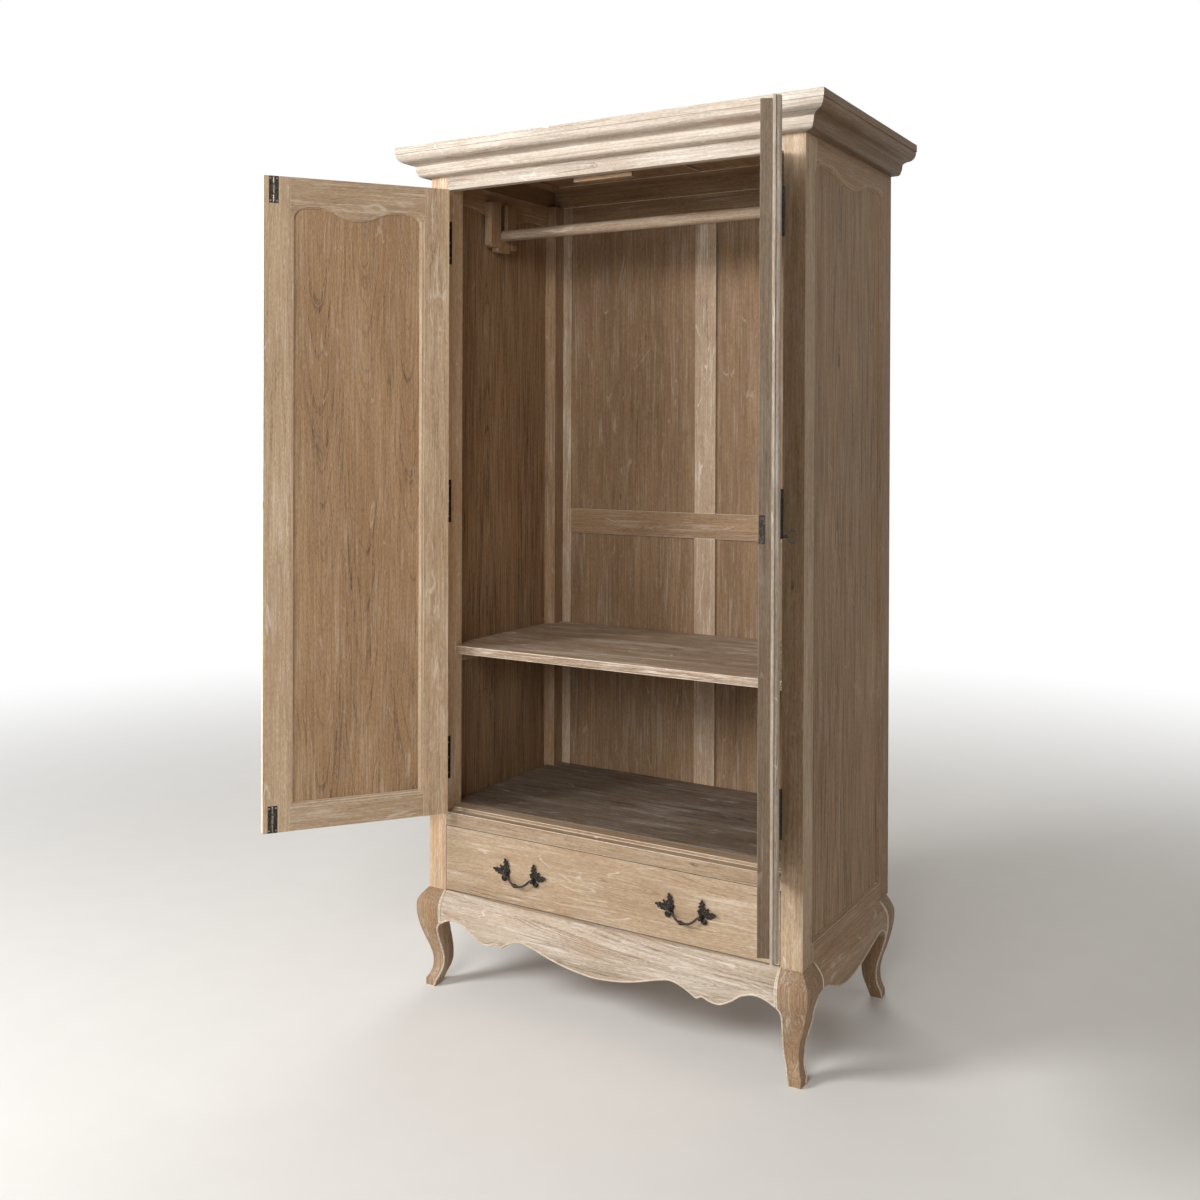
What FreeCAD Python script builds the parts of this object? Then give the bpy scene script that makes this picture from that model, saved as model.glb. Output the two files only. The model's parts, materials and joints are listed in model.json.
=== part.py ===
import FreeCAD, Part
import math
import os
from FreeCAD import Vector

# A two-door wardrobe of limed oak on cabriole legs, with one drawer and a cornice.
# Millimetres. While the pieces are drawn, X runs to the right, Y to the back and Z up from
# the floor under the middle of the carcass. The doors are drawn closed, then swung open.

# Carcass
HEIGHT = 2000.0
CARCASS_WIDTH = 956.0
CARCASS_DEPTH = 532.0
BASE_HEIGHT = 232.0
POST_WIDTH = 48.0
POST_DEPTH = 60.0
FRAME_THICKNESS = 24.0
FRIEZE_HEIGHT = 33.0
FRIEZE_THICKNESS = 23.0
FRAME_SUNK_WIDTH = 10.0
FRAME_SUNK_DEPTH = 1.5
FRAME_BEVEL = 7.0

# Cornice: its section is drawn outwards from the carcass face
CORNICE_HEIGHT = 68.0
CORNICE_OVERHANG = 62.0
CORNICE_NOSE_HEIGHT = 16.0
CORNICE_STEP = 2.0
CORNICE_OVOLO_HEIGHT = 21.0
CORNICE_OVOLO_REACH = 16.0
CORNICE_COVE_HEIGHT = 6.0
CORNICE_COVE_REACH = 13.0
CORNICE_BAND_HEIGHT = 13.0
CORNICE_BAND_REACH = 28.0
CORNICE_BAND_BATTER = 2.0
CORNICE_BEAD_HEIGHT = 9.0
CORNICE_BEAD_REACH = 24.0
CORNICE_FOOT_REACH = 15.0
CORNICE_BEARING = 23.0
CEILING_LEDGE_HEIGHT = 44.0
CEILING_LEDGE_DEPTH = 12.0

# Ceiling frame
CEILING_THICKNESS = 18.0
CEILING_RAIL_WIDTH = 60.0
CEILING_MUNTIN_WIDTH = 36.0
CORNICE_BACK_THICKNESS = 22.0

# Panels and the grooves that hold them
PANEL_THICKNESS = 8.0
GROOVE_DEPTH = 10.0
PANEL_PLAY = 1.0

# Serpentine heads of the side and door panels
HEAD_RISE = 26.0
HEAD_DIP = 2.0
HEAD_HUMP_SHARE = 0.165
HEAD_MITRE_DROP = 3.0

# Side frames
SIDE_TOP_RAIL = 78.0
SIDE_BOTTOM_RAIL = 43.0
SIDE_PANEL_RECESS = 8.0

# Back
BACK_THICKNESS = 20.0
BACK_STILE_WIDTH = 26.0
BACK_TOP_RAIL = 71.0
BACK_MIDDLE_RAIL = 65.0
BACK_MIDDLE_RAIL_HEIGHT = 1054.0
BACK_MUNTIN_WIDTH = 58.0
BACK_PANEL_RECESS = 6.0

# Drawer rail, deck and shelf
DRAWER_OPENING_HEIGHT = 156.0
RAIL_LIP_HEIGHT = 31.0
RAIL_STEP = 7.5
DECK_THICKNESS = 18.0
SHELF_HEIGHT = 790.5
SHELF_THICKNESS = 19.5
SHELF_SETBACK = 36.0
BATTEN_HEIGHT = 20.0
BOARD_PLAY = 0.5

# Hanging rail, its brackets and the stop block over the doors
ROD_RADIUS = 14.0
ROD_DROP = 110.0
ROD_OFFSET = -27.0
ROD_END_PLAY = 4.0
BRACKET_THICKNESS = 20.0
BRACKET_WIDTH = 110.0
BRACKET_TOP_ABOVE_ROD = 80.0
BRACKET_FOOT_BELOW_ROD = 44.0
BRACKET_EAR_DROP = 22.0
SLOT_PLAY = 0.3
STOP_WIDTH = 150.0
STOP_DEPTH = 30.0
STOP_DROP = 10.0
STOP_OFFSET = 15.0

# Base: swell of the knees and aprons, thickness of the legs and aprons
KNEE_SWELL_FRONT = 24.0
KNEE_SWELL_SIDE = 20.5
LEG_HEIGHT_SHARES = (0.069, 0.129, 0.259, 0.362, 0.509, 0.638, 0.793, 0.879, 0.948)
FRONT_SWELL_SHARES = (0.40, 0.02, -0.17, 0.02, 0.49, 0.83, 1.0, 0.93, 0.50)
SIDE_SWELL_SHARES = (0.07, -0.28, -0.45, -0.25, 0.31, 0.72, 1.0, 0.94, 0.50)
LEG_SIZE = 47.0
LEG_INNER_HEIGHT_SHARES = (0.090, 0.224, 0.345, 0.474, 0.569, 0.642)
LEG_FRONT_SIZE_SHARES = (0.66, 0.72, 0.80, 0.94, 1.05, 1.20)
LEG_SIDE_SIZE_SHARES = (0.66, 0.72, 0.80, 0.94, 0.985, 0.985)
FOOT_SIZE = 26.5
TOE_HEIGHT = 15.0
TOE_FRONT_SHARE = 0.43
TOE_SIDE_SHARE = 0.09
FRONT_ARCH_SHARE = 0.668
SIDE_ARCH_SHARE = 0.778
REAR_LEG_INSET = 10.0
REAR_LEG_LEAN = 13.0
APRON_THICKNESS = 22.0
APRON_BOW = 12.0
BACK_APRON_HEIGHT = 64.0

# Lower edge of the front apron: share of the half width between the legs, share of the base height
FRONT_ARCH_SHARES = (
    (0.949, 0.724), (0.902, 0.746), (0.846, 0.728), (0.754, 0.620), (0.700, 0.576), (0.660, 0.584),
)
FRONT_NOTCH_SHARE = (0.617, 0.621)
FRONT_TIP_SHARE = (0.581, 0.586)
FRONT_LOBE_SHARES = (
    (0.519, 0.663), (0.453, 0.705), (0.379, 0.680), (0.279, 0.621), (0.193, 0.578), (0.098, 0.547),
)
FRONT_MIDDLE_SHARE = 0.532

# Lower edge of the side aprons: share of the depth between the posts, share of the base height
SIDE_EDGE_SHARES = (
    (0.000, 0.778), (0.060, 0.762), (0.199, 0.668), (0.320, 0.600), (0.432, 0.575),
    (0.544, 0.600), (0.665, 0.668), (0.780, 0.745), (0.857, 0.776), (0.935, 0.745), (1.000, 0.642),
)

# Doors
DOOR_THICKNESS = 22.0
DOOR_BOTTOM_GAP = 3.5
DOOR_TOP_GAP = 3.0
DOOR_HINGE_GAP = 1.2
DOOR_MEETING_GAP = 3.0
DOOR_STILE_WIDTH = 58.0
DOOR_MOULDING_WIDTH = 12.0
DOOR_TOP_RAIL = 93.0
DOOR_BOTTOM_RAIL = 64.0
DOOR_SUNK_WIDTH = 10.0
DOOR_SUNK_DEPTH = 1.2
DOOR_BEVEL = 5.5
LEFT_DOOR_ANGLE = 126.5
RIGHT_DOOR_ANGLE = 111.5
ASTRAGAL_WIDTH = 45.0
ASTRAGAL_LAP = 27.0
ASTRAGAL_THICKNESS = 15.0
ASTRAGAL_FILLET_WIDTH = 3.0
ASTRAGAL_FILLET_HEIGHT = 5.5
ASTRAGAL_QUIRK = 2.0
ASTRAGAL_BEAD = 8.5
ASTRAGAL_CLEARANCE = 0.6

# Butt hinges
HINGE_LENGTH = 102.0
HINGE_HEIGHT_SHARES = (0.084, 0.500, 0.918)
HINGE_LEAF_WIDTH = 18.0
HINGE_LEAF_THICKNESS = 2.0
HINGE_BARREL_RADIUS = 4.2
HINGE_AXIS_STANDOFF = 4.8
HINGE_PIN_RADIUS = 2.0
HINGE_PIN_PLAY = 0.05
HINGE_KNUCKLES = 3
HINGE_KNUCKLE_GAP = 0.2

# Flush bolts of the left door
BOLT_CASE_WIDTH = 22.0
BOLT_CASE_LENGTH = 61.0
BOLT_CASE_DEPTH = 8.0
BOLT_CASE_EDGE = 11.0
BOLT_WIDTH = 8.0
BOLT_DEPTH = 4.0
BOLT_LENGTH = 48.0
BOLT_SETBACK = 1.0
BOLT_PLAY = 0.35
BOLT_FLOOR = 1.6
BOLT_KNOB_WIDTH = 4.4
BOLT_KNOB_LENGTH = 9.0
BOLT_KNOB_STAND = 1.8
BOLT_KNOB_SHARE = 0.72
BOLT_THROW = 12.0
STRIKE_DEPTH = 15.0

# Lock and key of the right door
LOCK_HEIGHT = 51.0
LOCK_WIDTH = 38.0
LOCK_DEPTH = 12.0
LOCK_WALL = 1.5
LOCK_CENTRE_SHARE = 0.499
LOCK_BOLT_HEIGHT = 18.0
LOCK_BOLT_THICKNESS = 5.0
LOCK_BOLT_HEAD = 14.0
LOCK_BOLT_JOINT = 3.0
LOCK_BOLT_TAIL = 16.0
LOCK_BOLT_TAIL_THICKNESS = 2.4
LOCK_BOLT_PLAY = 0.35
LOCK_THROW = 9.0
KEY_BACKSET = 25.0
KEY_DROP = 12.5
KEY_RADIUS = 2.2
KEY_HOLE_PLAY = 0.4
KEY_BIT_REACH = 8.0
KEY_BIT_LENGTH = 5.0
KEY_BIT_THICKNESS = 2.0
KEY_COLLAR_RADIUS = 3.6
KEY_COLLAR_LENGTH = 3.0
KEY_STEM = 27.0
KEY_BOW_HEIGHT = 25.0
KEY_BOW_WIDTH = 18.0
KEY_BOW_WIRE = 1.6

# Drawer
DRAWER_SIDE_GAP = 2.0
DRAWER_TOP_GAP = 2.0
DRAWER_BOTTOM_GAP = 3.0
DRAWER_FRONT_THICKNESS = 22.0
DRAWER_SIDE_THICKNESS = 12.0
DRAWER_SIDE_HEIGHT = 130.0
DRAWER_REAR_GAP = 51.0
DRAWER_BOTTOM_THICKNESS = 6.0
DRAWER_BOTTOM_RISE = 8.0
DRAWER_GROOVE = 6.0
DOVETAIL_LENGTH = 14.0
DOVETAIL_COUNT = 4
DOVETAIL_FLARE = 3.0
DOVETAIL_WIDTH_SHARE = 0.62
RUNNER_WIDTH = 48.0
RUNNER_THICKNESS = 18.0
GUIDE_HEIGHT = 30.0
GUIDE_PLAY = 0.5

# Bail handles
HANDLE_OFFSET = 214.0
HANDLE_HEIGHT = 299.0
BAIL_WIRE = 2.3
BAIL_SIDES = 8
BAIL_DROP = 17.0
BAIL_SWEEP_RADIUS = 34.0
BAIL_CORNER_RADIUS = 4.0
BAIL_END_PLAY = 0.4
BAIL_TILT = 20.0
BAIL_STANDOFF = 9.0
BAIL_PIN_PLAY = 0.06
BAIL_KNOT_RADIUS = 4.0
BAIL_KNOT_LENGTH = 13.0
BAIL_KNOT_LEAN = 11.0
BAIL_ARM_STEPS = 6
BAIL_CORNER_STEPS = 3
LEAF_THICKNESS = 2.6
LEAF_POST_RADIUS = 4.6
LEAF_SCROLL_RADIUS = 5.5
LEAF_HEIGHT = 39.0
LEAF_SCROLL_SHARE = (-0.33, 0.0)
LEAFLET_BELLY_SHARE = 0.42
# Each leaflet: its root, its tip and its width, as shares of the leaf height
LEAFLET_SHARES = (
    ((-0.05, 0.05), (-0.20, 1.00), 0.26),
    ((0.00, 0.25), (0.17, 0.86), 0.20),
    ((-0.02, 0.12), (0.22, 0.44), 0.16),
    ((-0.10, 0.25), (-0.50, 0.72), 0.20),
    ((-0.15, 0.30), (-0.72, 0.60), 0.20),
    ((-0.15, 0.30), (-0.98, 0.18), 0.22),
    ((-0.15, 0.28), (-0.62, 0.18), 0.16),
    ((-0.33, 0.05), (0.02, 0.10), 0.26),
)

# Flat sides of small round ironwork, such as knuckles and posts
SMALL_ROUND_SIDES = 12

# Overrun of a cutting solid past the face that it cuts
OVERRUN = 5.0

# Levels and places that follow from the sizes above
FRONT = -CARCASS_DEPTH / 2
BACK = CARCASS_DEPTH / 2
HALF_WIDTH = CARCASS_WIDTH / 2
HALF_OPENING = HALF_WIDTH - POST_WIDTH
POST_REAR = FRONT + POST_DEPTH
REAR_POST_FRONT = BACK - POST_DEPTH
CORNICE_FOOT = HEIGHT - CORNICE_HEIGHT
FRIEZE_FOOT = CORNICE_FOOT - FRIEZE_HEIGHT
DRAWER_RAIL_FOOT = BASE_HEIGHT + DRAWER_OPENING_HEIGHT
LIP_TOP = DRAWER_RAIL_FOOT + RAIL_LIP_HEIGHT
DECK_TOP = LIP_TOP + RAIL_STEP
DOOR_FOOT = LIP_TOP + DOOR_BOTTOM_GAP
DOOR_TOP = FRIEZE_FOOT - DOOR_TOP_GAP
DOOR_HEIGHT = DOOR_TOP - DOOR_FOOT
DOOR_WIDTH = HALF_OPENING - DOOR_HINGE_GAP - DOOR_MEETING_GAP / 2
STOP_FACE = FRONT + FRIEZE_THICKNESS
SIDE_INNER = HALF_WIDTH - FRAME_THICKNESS
HINGE_X = HALF_OPENING - DOOR_HINGE_GAP / 2
HINGE_Y = FRONT - HINGE_AXIS_STANDOFF
SIDE_SIGHT_TOP = CORNICE_FOOT - SIDE_TOP_RAIL
SIDE_SIGHT_FOOT = BASE_HEIGHT + SIDE_BOTTOM_RAIL
DOOR_SIGHT = DOOR_STILE_WIDTH + DOOR_MOULDING_WIDTH
LOCK_CENTRE = DOOR_FOOT + LOCK_CENTRE_SHARE * DOOR_HEIGHT
BACK_FACE = BACK - BACK_THICKNESS
ROD_HEIGHT = CORNICE_FOOT - ROD_DROP
DRAWER_END = BACK_FACE - DRAWER_REAR_GAP

ACROSS = Vector(1, 0, 0)
INWARD = Vector(0, 1, 0)
UP = Vector(0, 0, 1)
ORIGIN = Vector(0, 0, 0)


def block(x, y, z):
    """A block between the lower and upper limits along each axis."""
    corner = Vector(x[0], y[0], z[0])
    return Part.makeBox(x[1] - x[0], y[1] - y[0], z[1] - z[0], corner)


def rod(radius, start, end):
    """A round bar between two points."""
    axis = end.sub(start)
    return Part.makeCylinder(radius, axis.Length, start, axis)


def faceted_rod(radius, start, end):
    """A bar with SMALL_ROUND_SIDES flat sides, whose corners lie on a round of the given radius."""
    axis = end.sub(start)
    spoke = axis.cross(UP if abs(axis.z) < axis.Length / 2 else ACROSS).normalize() * radius
    turn = 360 / SMALL_ROUND_SIDES
    corners = [
        start + FreeCAD.Rotation(axis, turn * (number + 1 / 2)).multVec(spoke)
        for number in range(SMALL_ROUND_SIDES + 1)
    ]
    return Part.Face(Part.makePolygon(corners)).extrude(axis)


def mirrored(shape):
    """The same piece on the other side of the wardrobe's middle plane."""
    return shape.mirror(ORIGIN, ACROSS)


def gathered(shapes):
    """Separate solids that share one node."""
    return Part.makeCompound(list(shapes))


def heading(start, end):
    """The direction from one point of an outline to another."""
    length = math.hypot(end[0] - start[0], end[1] - start[1])
    return ((end[0] - start[0]) / length, (end[1] - start[1]) / length)


def course(before, here, after):
    """The direction at a point, along the circle through it and its neighbours."""
    near = (here[0] - before[0], here[1] - before[1])
    far = (after[0] - here[0], after[1] - here[1])
    near_square = near[0] ** 2 + near[1] ** 2
    far_square = far[0] ** 2 + far[1] ** 2
    return heading((0, 0), tuple(a / near_square + b / far_square for a, b in zip(near, far)))


def reflected(direction, axis):
    """A direction mirrored in an axis, which is the direction at an arc's other end."""
    along = direction[0] * axis[0] + direction[1] * axis[1]
    return (along * axis[0] * 2 - direction[0], along * axis[1] * 2 - direction[1])


class Outline:
    """A closed outline in a plane, drawn from lines and arcs."""

    def __init__(self, along, up, start, origin=ORIGIN):
        self.along = along
        self.up = up
        self.origin = origin
        self.pen = start
        self.first = start
        self.edges = []

    def at(self, point):
        return self.origin + self.along * point[0] + self.up * point[1]

    def line(self, *points):
        for point in points:
            self.edges.append(Part.makeLine(self.at(self.pen), self.at(point)))
            self.pen = point
        return self

    def arc(self, through, end):
        curve = Part.Arc(self.at(self.pen), self.at(through), self.at(end))
        self.edges.append(curve.toShape())
        self.pen = end
        return self

    def turn(self, leaving, end):
        """An arc that leaves in a direction and ends at a point."""
        step = (end[0] - self.pen[0], end[1] - self.pen[1])
        length = math.hypot(*step)
        sine = (step[0] * leaving[1] - step[1] * leaving[0]) / length
        cosine = (step[0] * leaving[0] + step[1] * leaving[1]) / length
        bulge = sine / (1 + cosine) / 2
        if abs(bulge * length) < Part.Precision.confusion():
            return self.line(end)
        middle = (
            (self.pen[0] + end[0]) / 2 - step[1] * bulge,
            (self.pen[1] + end[1]) / 2 + step[0] * bulge,
        )
        return self.arc(middle, end)

    def blend(self, leaving, end, arriving):
        """Two tangent arcs to a point, with the direction given at both ends."""
        start = self.pen
        step = (end[0] - start[0], end[1] - start[1])
        both = step[0] * (leaving[0] + arriving[0]) + step[1] * (leaving[1] + arriving[1])
        spread = 1 - (leaving[0] * arriving[0] + leaving[1] * arriving[1])
        square = step[0] ** 2 + step[1] ** 2
        if spread < Part.Precision.confusion():
            reach = square / both / 2
        else:
            reach = (math.sqrt(both ** 2 + square * spread * 2) - both) / spread / 2
        first = (start[0] + leaving[0] * reach, start[1] + leaving[1] * reach)
        last = (end[0] - arriving[0] * reach, end[1] - arriving[1] * reach)
        join = ((first[0] + last[0]) / 2, (first[1] + last[1]) / 2)
        self.turn(leaving, join)
        return self.turn(heading(first, last), end)

    def flow(self, points):
        """A smooth chain of arcs through the points."""
        places = [self.pen, *points]
        courses = [course(*three) for three in zip(places, places[1:], places[2:])]
        opening = reflected(courses[0], heading(places[0], places[1]))
        closing = reflected(courses[-1], heading(places[-2], places[-1]))
        courses = [opening, *courses, closing]
        for leaving, end, arriving in zip(courses, points, courses[1:]):
            self.blend(leaving, end, arriving)
        return self

    def face(self):
        if self.at(self.pen).distanceToPoint(self.at(self.first)) > Part.Precision.confusion():
            self.line(self.first)
        return Part.Face(Part.Wire(self.edges))

    def prism(self, sweep):
        return self.face().extrude(sweep)


# Serpentine-headed openings, shared by the side frames and the doors
def serpentine_opening(along, left, right, foot, corner_height, sweep, origin):
    """A prism with straight sides and foot, and a head of two humps beside a middle dip."""
    hump = HEAD_HUMP_SHARE * (right - left)
    middle = (left + right) / 2
    crown = corner_height + HEAD_RISE
    dip = corner_height + HEAD_DIP
    level = (1, 0)
    outline = Outline(along, UP, (left, foot), origin)
    outline.line((left, corner_height))
    outline.blend((0, 1), (left + hump, crown), level)
    outline.blend(level, (middle, dip), level)
    outline.blend(level, (right - hump, crown), level)
    outline.blend(level, (right, corner_height), (0, -1))
    outline.line((right, foot))
    return outline.prism(sweep)


def edges_in_plane(shape, axis, value):
    """The edges of a shape that lie in the plane where one coordinate has the given value."""
    low = axis + "Min"
    high = axis + "Max"
    close = Part.Precision.confusion() * CARCASS_WIDTH
    found = []
    for edge in shape.Edges:
        box = edge.BoundBox
        if abs(getattr(box, low) - value) < close and abs(getattr(box, high) - value) < close:
            found.append(edge)
    return found


# Side frames: both posts and both rails of a side come from one moulded frame
def side_opening(margin, inner, outer):
    """The hole of the right side frame, enlarged by a margin, between two distances from the middle."""
    return serpentine_opening(
        INWARD, POST_REAR - margin, REAR_POST_FRONT + margin, SIDE_SIGHT_FOOT - margin,
        SIDE_SIGHT_TOP + margin, ACROSS * (outer - inner), Vector(inner, 0, 0),
    )


def side_frame():
    """The right side's outer frame, with its opening moulded and grooved for the panel."""
    slab = block((SIDE_INNER, HALF_WIDTH), (FRONT, BACK), (BASE_HEIGHT, CORNICE_FOOT))
    opening = side_opening(0, SIDE_INNER - OVERRUN, HALF_WIDTH + OVERRUN)
    frame = slab.cut(opening)
    rim = [edge for edge in edges_in_plane(frame, "X", HALF_WIDTH) if not on_side_border(edge)]
    frame = frame.makeChamfer(FRAME_BEVEL, rim)
    sunk = HALF_WIDTH - FRAME_SUNK_DEPTH
    frame = frame.cut(side_opening(FRAME_SUNK_WIDTH, sunk, HALF_WIDTH + OVERRUN))
    outer = HALF_WIDTH - SIDE_PANEL_RECESS
    groove = side_opening(GROOVE_DEPTH, outer - PANEL_THICKNESS, outer)
    return frame.cut(groove)


def on_side_border(edge):
    """Whether an edge is on the outer border of the side frame."""
    box = edge.BoundBox
    at_side = box.YMin < FRONT + OVERRUN or box.YMax > BACK - OVERRUN
    at_end = box.ZMin < BASE_HEIGHT + OVERRUN or box.ZMax > CORNICE_FOOT - OVERRUN
    return at_side or at_end


def front_post(frame):
    """Right front corner post: its moulded side face and the solid corner behind it."""
    level = (BASE_HEIGHT, CORNICE_FOOT)
    face = frame.common(block((SIDE_INNER, HALF_WIDTH), (FRONT, POST_REAR), level))
    core = block((HALF_OPENING, SIDE_INNER), (FRONT, POST_REAR), level)
    return face.fuse(core).removeSplitter()


def rear_post(frame):
    """Right rear corner post."""
    level = (BASE_HEIGHT, CORNICE_FOOT)
    face = frame.common(block((SIDE_INNER, HALF_WIDTH), (REAR_POST_FRONT, BACK), level))
    core = block((HALF_OPENING, SIDE_INNER), (REAR_POST_FRONT, BACK), level)
    return face.fuse(core).removeSplitter()


def side_rails(frame):
    """Top and bottom rails of the right side."""
    span = (POST_REAR, REAR_POST_FRONT)
    middle = (SIDE_SIGHT_FOOT + SIDE_SIGHT_TOP) / 2
    top = frame.common(block((SIDE_INNER, HALF_WIDTH), span, (middle, HEIGHT)))
    bottom = frame.common(block((SIDE_INNER, HALF_WIDTH), span, (0, middle)))
    return gathered((top, bottom))


def side_panel():
    """Right side panel, held in the groove of the frame."""
    outer = HALF_WIDTH - SIDE_PANEL_RECESS
    return side_opening(GROOVE_DEPTH - PANEL_PLAY, outer - PANEL_THICKNESS, outer)


# Back: a frame of rails, stiles and muntins with four panels
def back_panel_openings(margin):
    """The four panel openings of the back, each enlarged by a margin: across limits, height limits."""
    outer = HALF_OPENING - BACK_STILE_WIDTH
    inner = BACK_MUNTIN_WIDTH / 2
    top = CORNICE_FOOT - BACK_TOP_RAIL
    middle = BACK_MIDDLE_RAIL_HEIGHT
    bottom = DECK_TOP - DECK_THICKNESS / 2
    columns = ((-outer - margin, -inner + margin), (inner - margin, outer + margin))
    rows = ((bottom - margin, middle + margin), (middle + BACK_MIDDLE_RAIL - margin, top + margin))
    return [(column, row) for column in columns for row in rows]


def back_frame():
    """Stiles, rails and muntins of the back, grooved for the panels."""
    depth = (BACK_FACE, BACK)
    outer = HALF_OPENING - BACK_STILE_WIDTH
    half_muntin = BACK_MUNTIN_WIDTH / 2
    top = CORNICE_FOOT - BACK_TOP_RAIL
    middle = (BACK_MIDDLE_RAIL_HEIGHT, BACK_MIDDLE_RAIL_HEIGHT + BACK_MIDDLE_RAIL)
    bottom = DECK_TOP - DECK_THICKNESS / 2
    members = [
        block((-HALF_OPENING, -outer), depth, (BASE_HEIGHT, CORNICE_FOOT)),
        block((outer, HALF_OPENING), depth, (BASE_HEIGHT, CORNICE_FOOT)),
        block((-outer, outer), depth, (top, CORNICE_FOOT)),
        block((-outer, outer), depth, middle),
        block((-outer, outer), depth, (BASE_HEIGHT, bottom)),
        block((-half_muntin, half_muntin), depth, (middle[1], top)),
        block((-half_muntin, half_muntin), depth, (bottom, middle[0])),
    ]
    face = BACK_FACE + BACK_PANEL_RECESS
    for column, row in back_panel_openings(GROOVE_DEPTH):
        groove = block(column, (face, face + PANEL_THICKNESS), row)
        members = [member.cut(groove) for member in members]
    return gathered(members)


def back_panels():
    """The four flat panels of the back."""
    face = BACK_FACE + BACK_PANEL_RECESS
    margin = GROOVE_DEPTH - PANEL_PLAY
    return gathered(
        block(column, (face, face + PANEL_THICKNESS), row) for column, row in back_panel_openings(margin)
    )


# Cornice: one section, extruded along the front and both sides and mitred at the corners
def cornice_section(outward, face):
    """The cornice's section, drawn outwards from the carcass face and up from the posts' tops."""
    nose_foot = CORNICE_HEIGHT - CORNICE_NOSE_HEIGHT
    ovolo_out = CORNICE_OVERHANG - CORNICE_STEP
    ovolo_foot = nose_foot - CORNICE_OVOLO_HEIGHT
    ovolo_in = ovolo_out - CORNICE_OVOLO_REACH
    cove_foot = ovolo_foot - CORNICE_COVE_HEIGHT
    cove_in = ovolo_in - CORNICE_COVE_REACH
    band_foot = cove_foot - CORNICE_BAND_HEIGHT
    bead_top = CORNICE_BEAD_HEIGHT
    rounding = math.sqrt(1 / 2)
    outline = Outline(outward, UP, (-CORNICE_BEARING, 0), face)
    outline.line((CORNICE_FOOT_REACH, 0))
    outline.arc(
        (
            CORNICE_FOOT_REACH + (CORNICE_BEAD_REACH - CORNICE_FOOT_REACH) * rounding,
            bead_top * (1 - rounding),
        ),
        (CORNICE_BEAD_REACH, bead_top),
    )
    outline.line((CORNICE_BAND_REACH - CORNICE_BAND_BATTER, band_foot), (CORNICE_BAND_REACH, cove_foot))
    outline.arc(
        (cove_in + CORNICE_COVE_REACH * (1 - rounding), cove_foot + CORNICE_COVE_HEIGHT * rounding),
        (ovolo_in, ovolo_foot),
    )
    outline.arc(
        (ovolo_in + CORNICE_OVOLO_REACH * rounding, ovolo_foot + CORNICE_OVOLO_HEIGHT * (1 - rounding)),
        (ovolo_out, nose_foot),
    )
    outline.line(
        (CORNICE_OVERHANG, nose_foot), (CORNICE_OVERHANG, CORNICE_HEIGHT),
        (CEILING_LEDGE_DEPTH - CORNICE_BEARING, CORNICE_HEIGHT),
        (CEILING_LEDGE_DEPTH - CORNICE_BEARING, CEILING_LEDGE_HEIGHT),
        (-CORNICE_BEARING, CEILING_LEDGE_HEIGHT),
    )
    return outline


def mitre_plan(points):
    """A tall prism over a plan, to trim a moulding to its mitres."""
    outline = Outline(ACROSS, INWARD, points[0], UP * (CORNICE_FOOT - OVERRUN))
    outline.line(*points[1:])
    return outline.prism(UP * (CORNICE_HEIGHT + OVERRUN * 2))


def cornice_front():
    """Front length of the cornice, mitred at both ends."""
    reach = CORNICE_OVERHANG + OVERRUN
    length = HALF_WIDTH + reach
    section = cornice_section(INWARD * -1, Vector(-length, FRONT, CORNICE_FOOT))
    bar = section.prism(ACROSS * (length * 2))
    bearing = CORNICE_BEARING + OVERRUN
    plan = mitre_plan((
        (-HALF_WIDTH + bearing, FRONT + bearing), (HALF_WIDTH - bearing, FRONT + bearing),
        (HALF_WIDTH + reach, FRONT - reach), (-HALF_WIDTH - reach, FRONT - reach),
    ))
    return bar.common(plan)


def cornice_return():
    """Right side length of the cornice, mitred at the front and square at the back."""
    reach = CORNICE_OVERHANG + OVERRUN
    section = cornice_section(ACROSS, Vector(HALF_WIDTH, FRONT - reach, CORNICE_FOOT))
    bar = section.prism(INWARD * (CARCASS_DEPTH + reach))
    bearing = CORNICE_BEARING + OVERRUN
    plan = mitre_plan((
        (HALF_WIDTH - bearing, FRONT + bearing), (HALF_WIDTH + reach, FRONT - reach),
        (HALF_WIDTH + reach, BACK), (HALF_WIDTH - bearing, BACK),
    ))
    return bar.common(plan)


# Ceiling: a framed top that lies on the ledge inside the cornice
def ceiling_limits():
    """Limits of the ceiling frame across, in depth and in height."""
    side = HALF_WIDTH - CORNICE_BEARING + CEILING_LEDGE_DEPTH - BOARD_PLAY
    front = FRONT + CORNICE_BEARING - CEILING_LEDGE_DEPTH + BOARD_PLAY
    back = BACK - CORNICE_BACK_THICKNESS
    foot = CORNICE_FOOT + CEILING_LEDGE_HEIGHT
    return side, front, back, foot


def ceiling_panel_openings(margin):
    """The two openings of the ceiling frame, each enlarged by a margin."""
    side, front, back, _ = ceiling_limits()
    outer = side - CEILING_RAIL_WIDTH + margin
    inner = CEILING_MUNTIN_WIDTH / 2 - margin
    depth = (front + CEILING_RAIL_WIDTH - margin, back - CEILING_RAIL_WIDTH + margin)
    return (((-outer, -inner), depth), ((inner, outer), depth))


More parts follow.
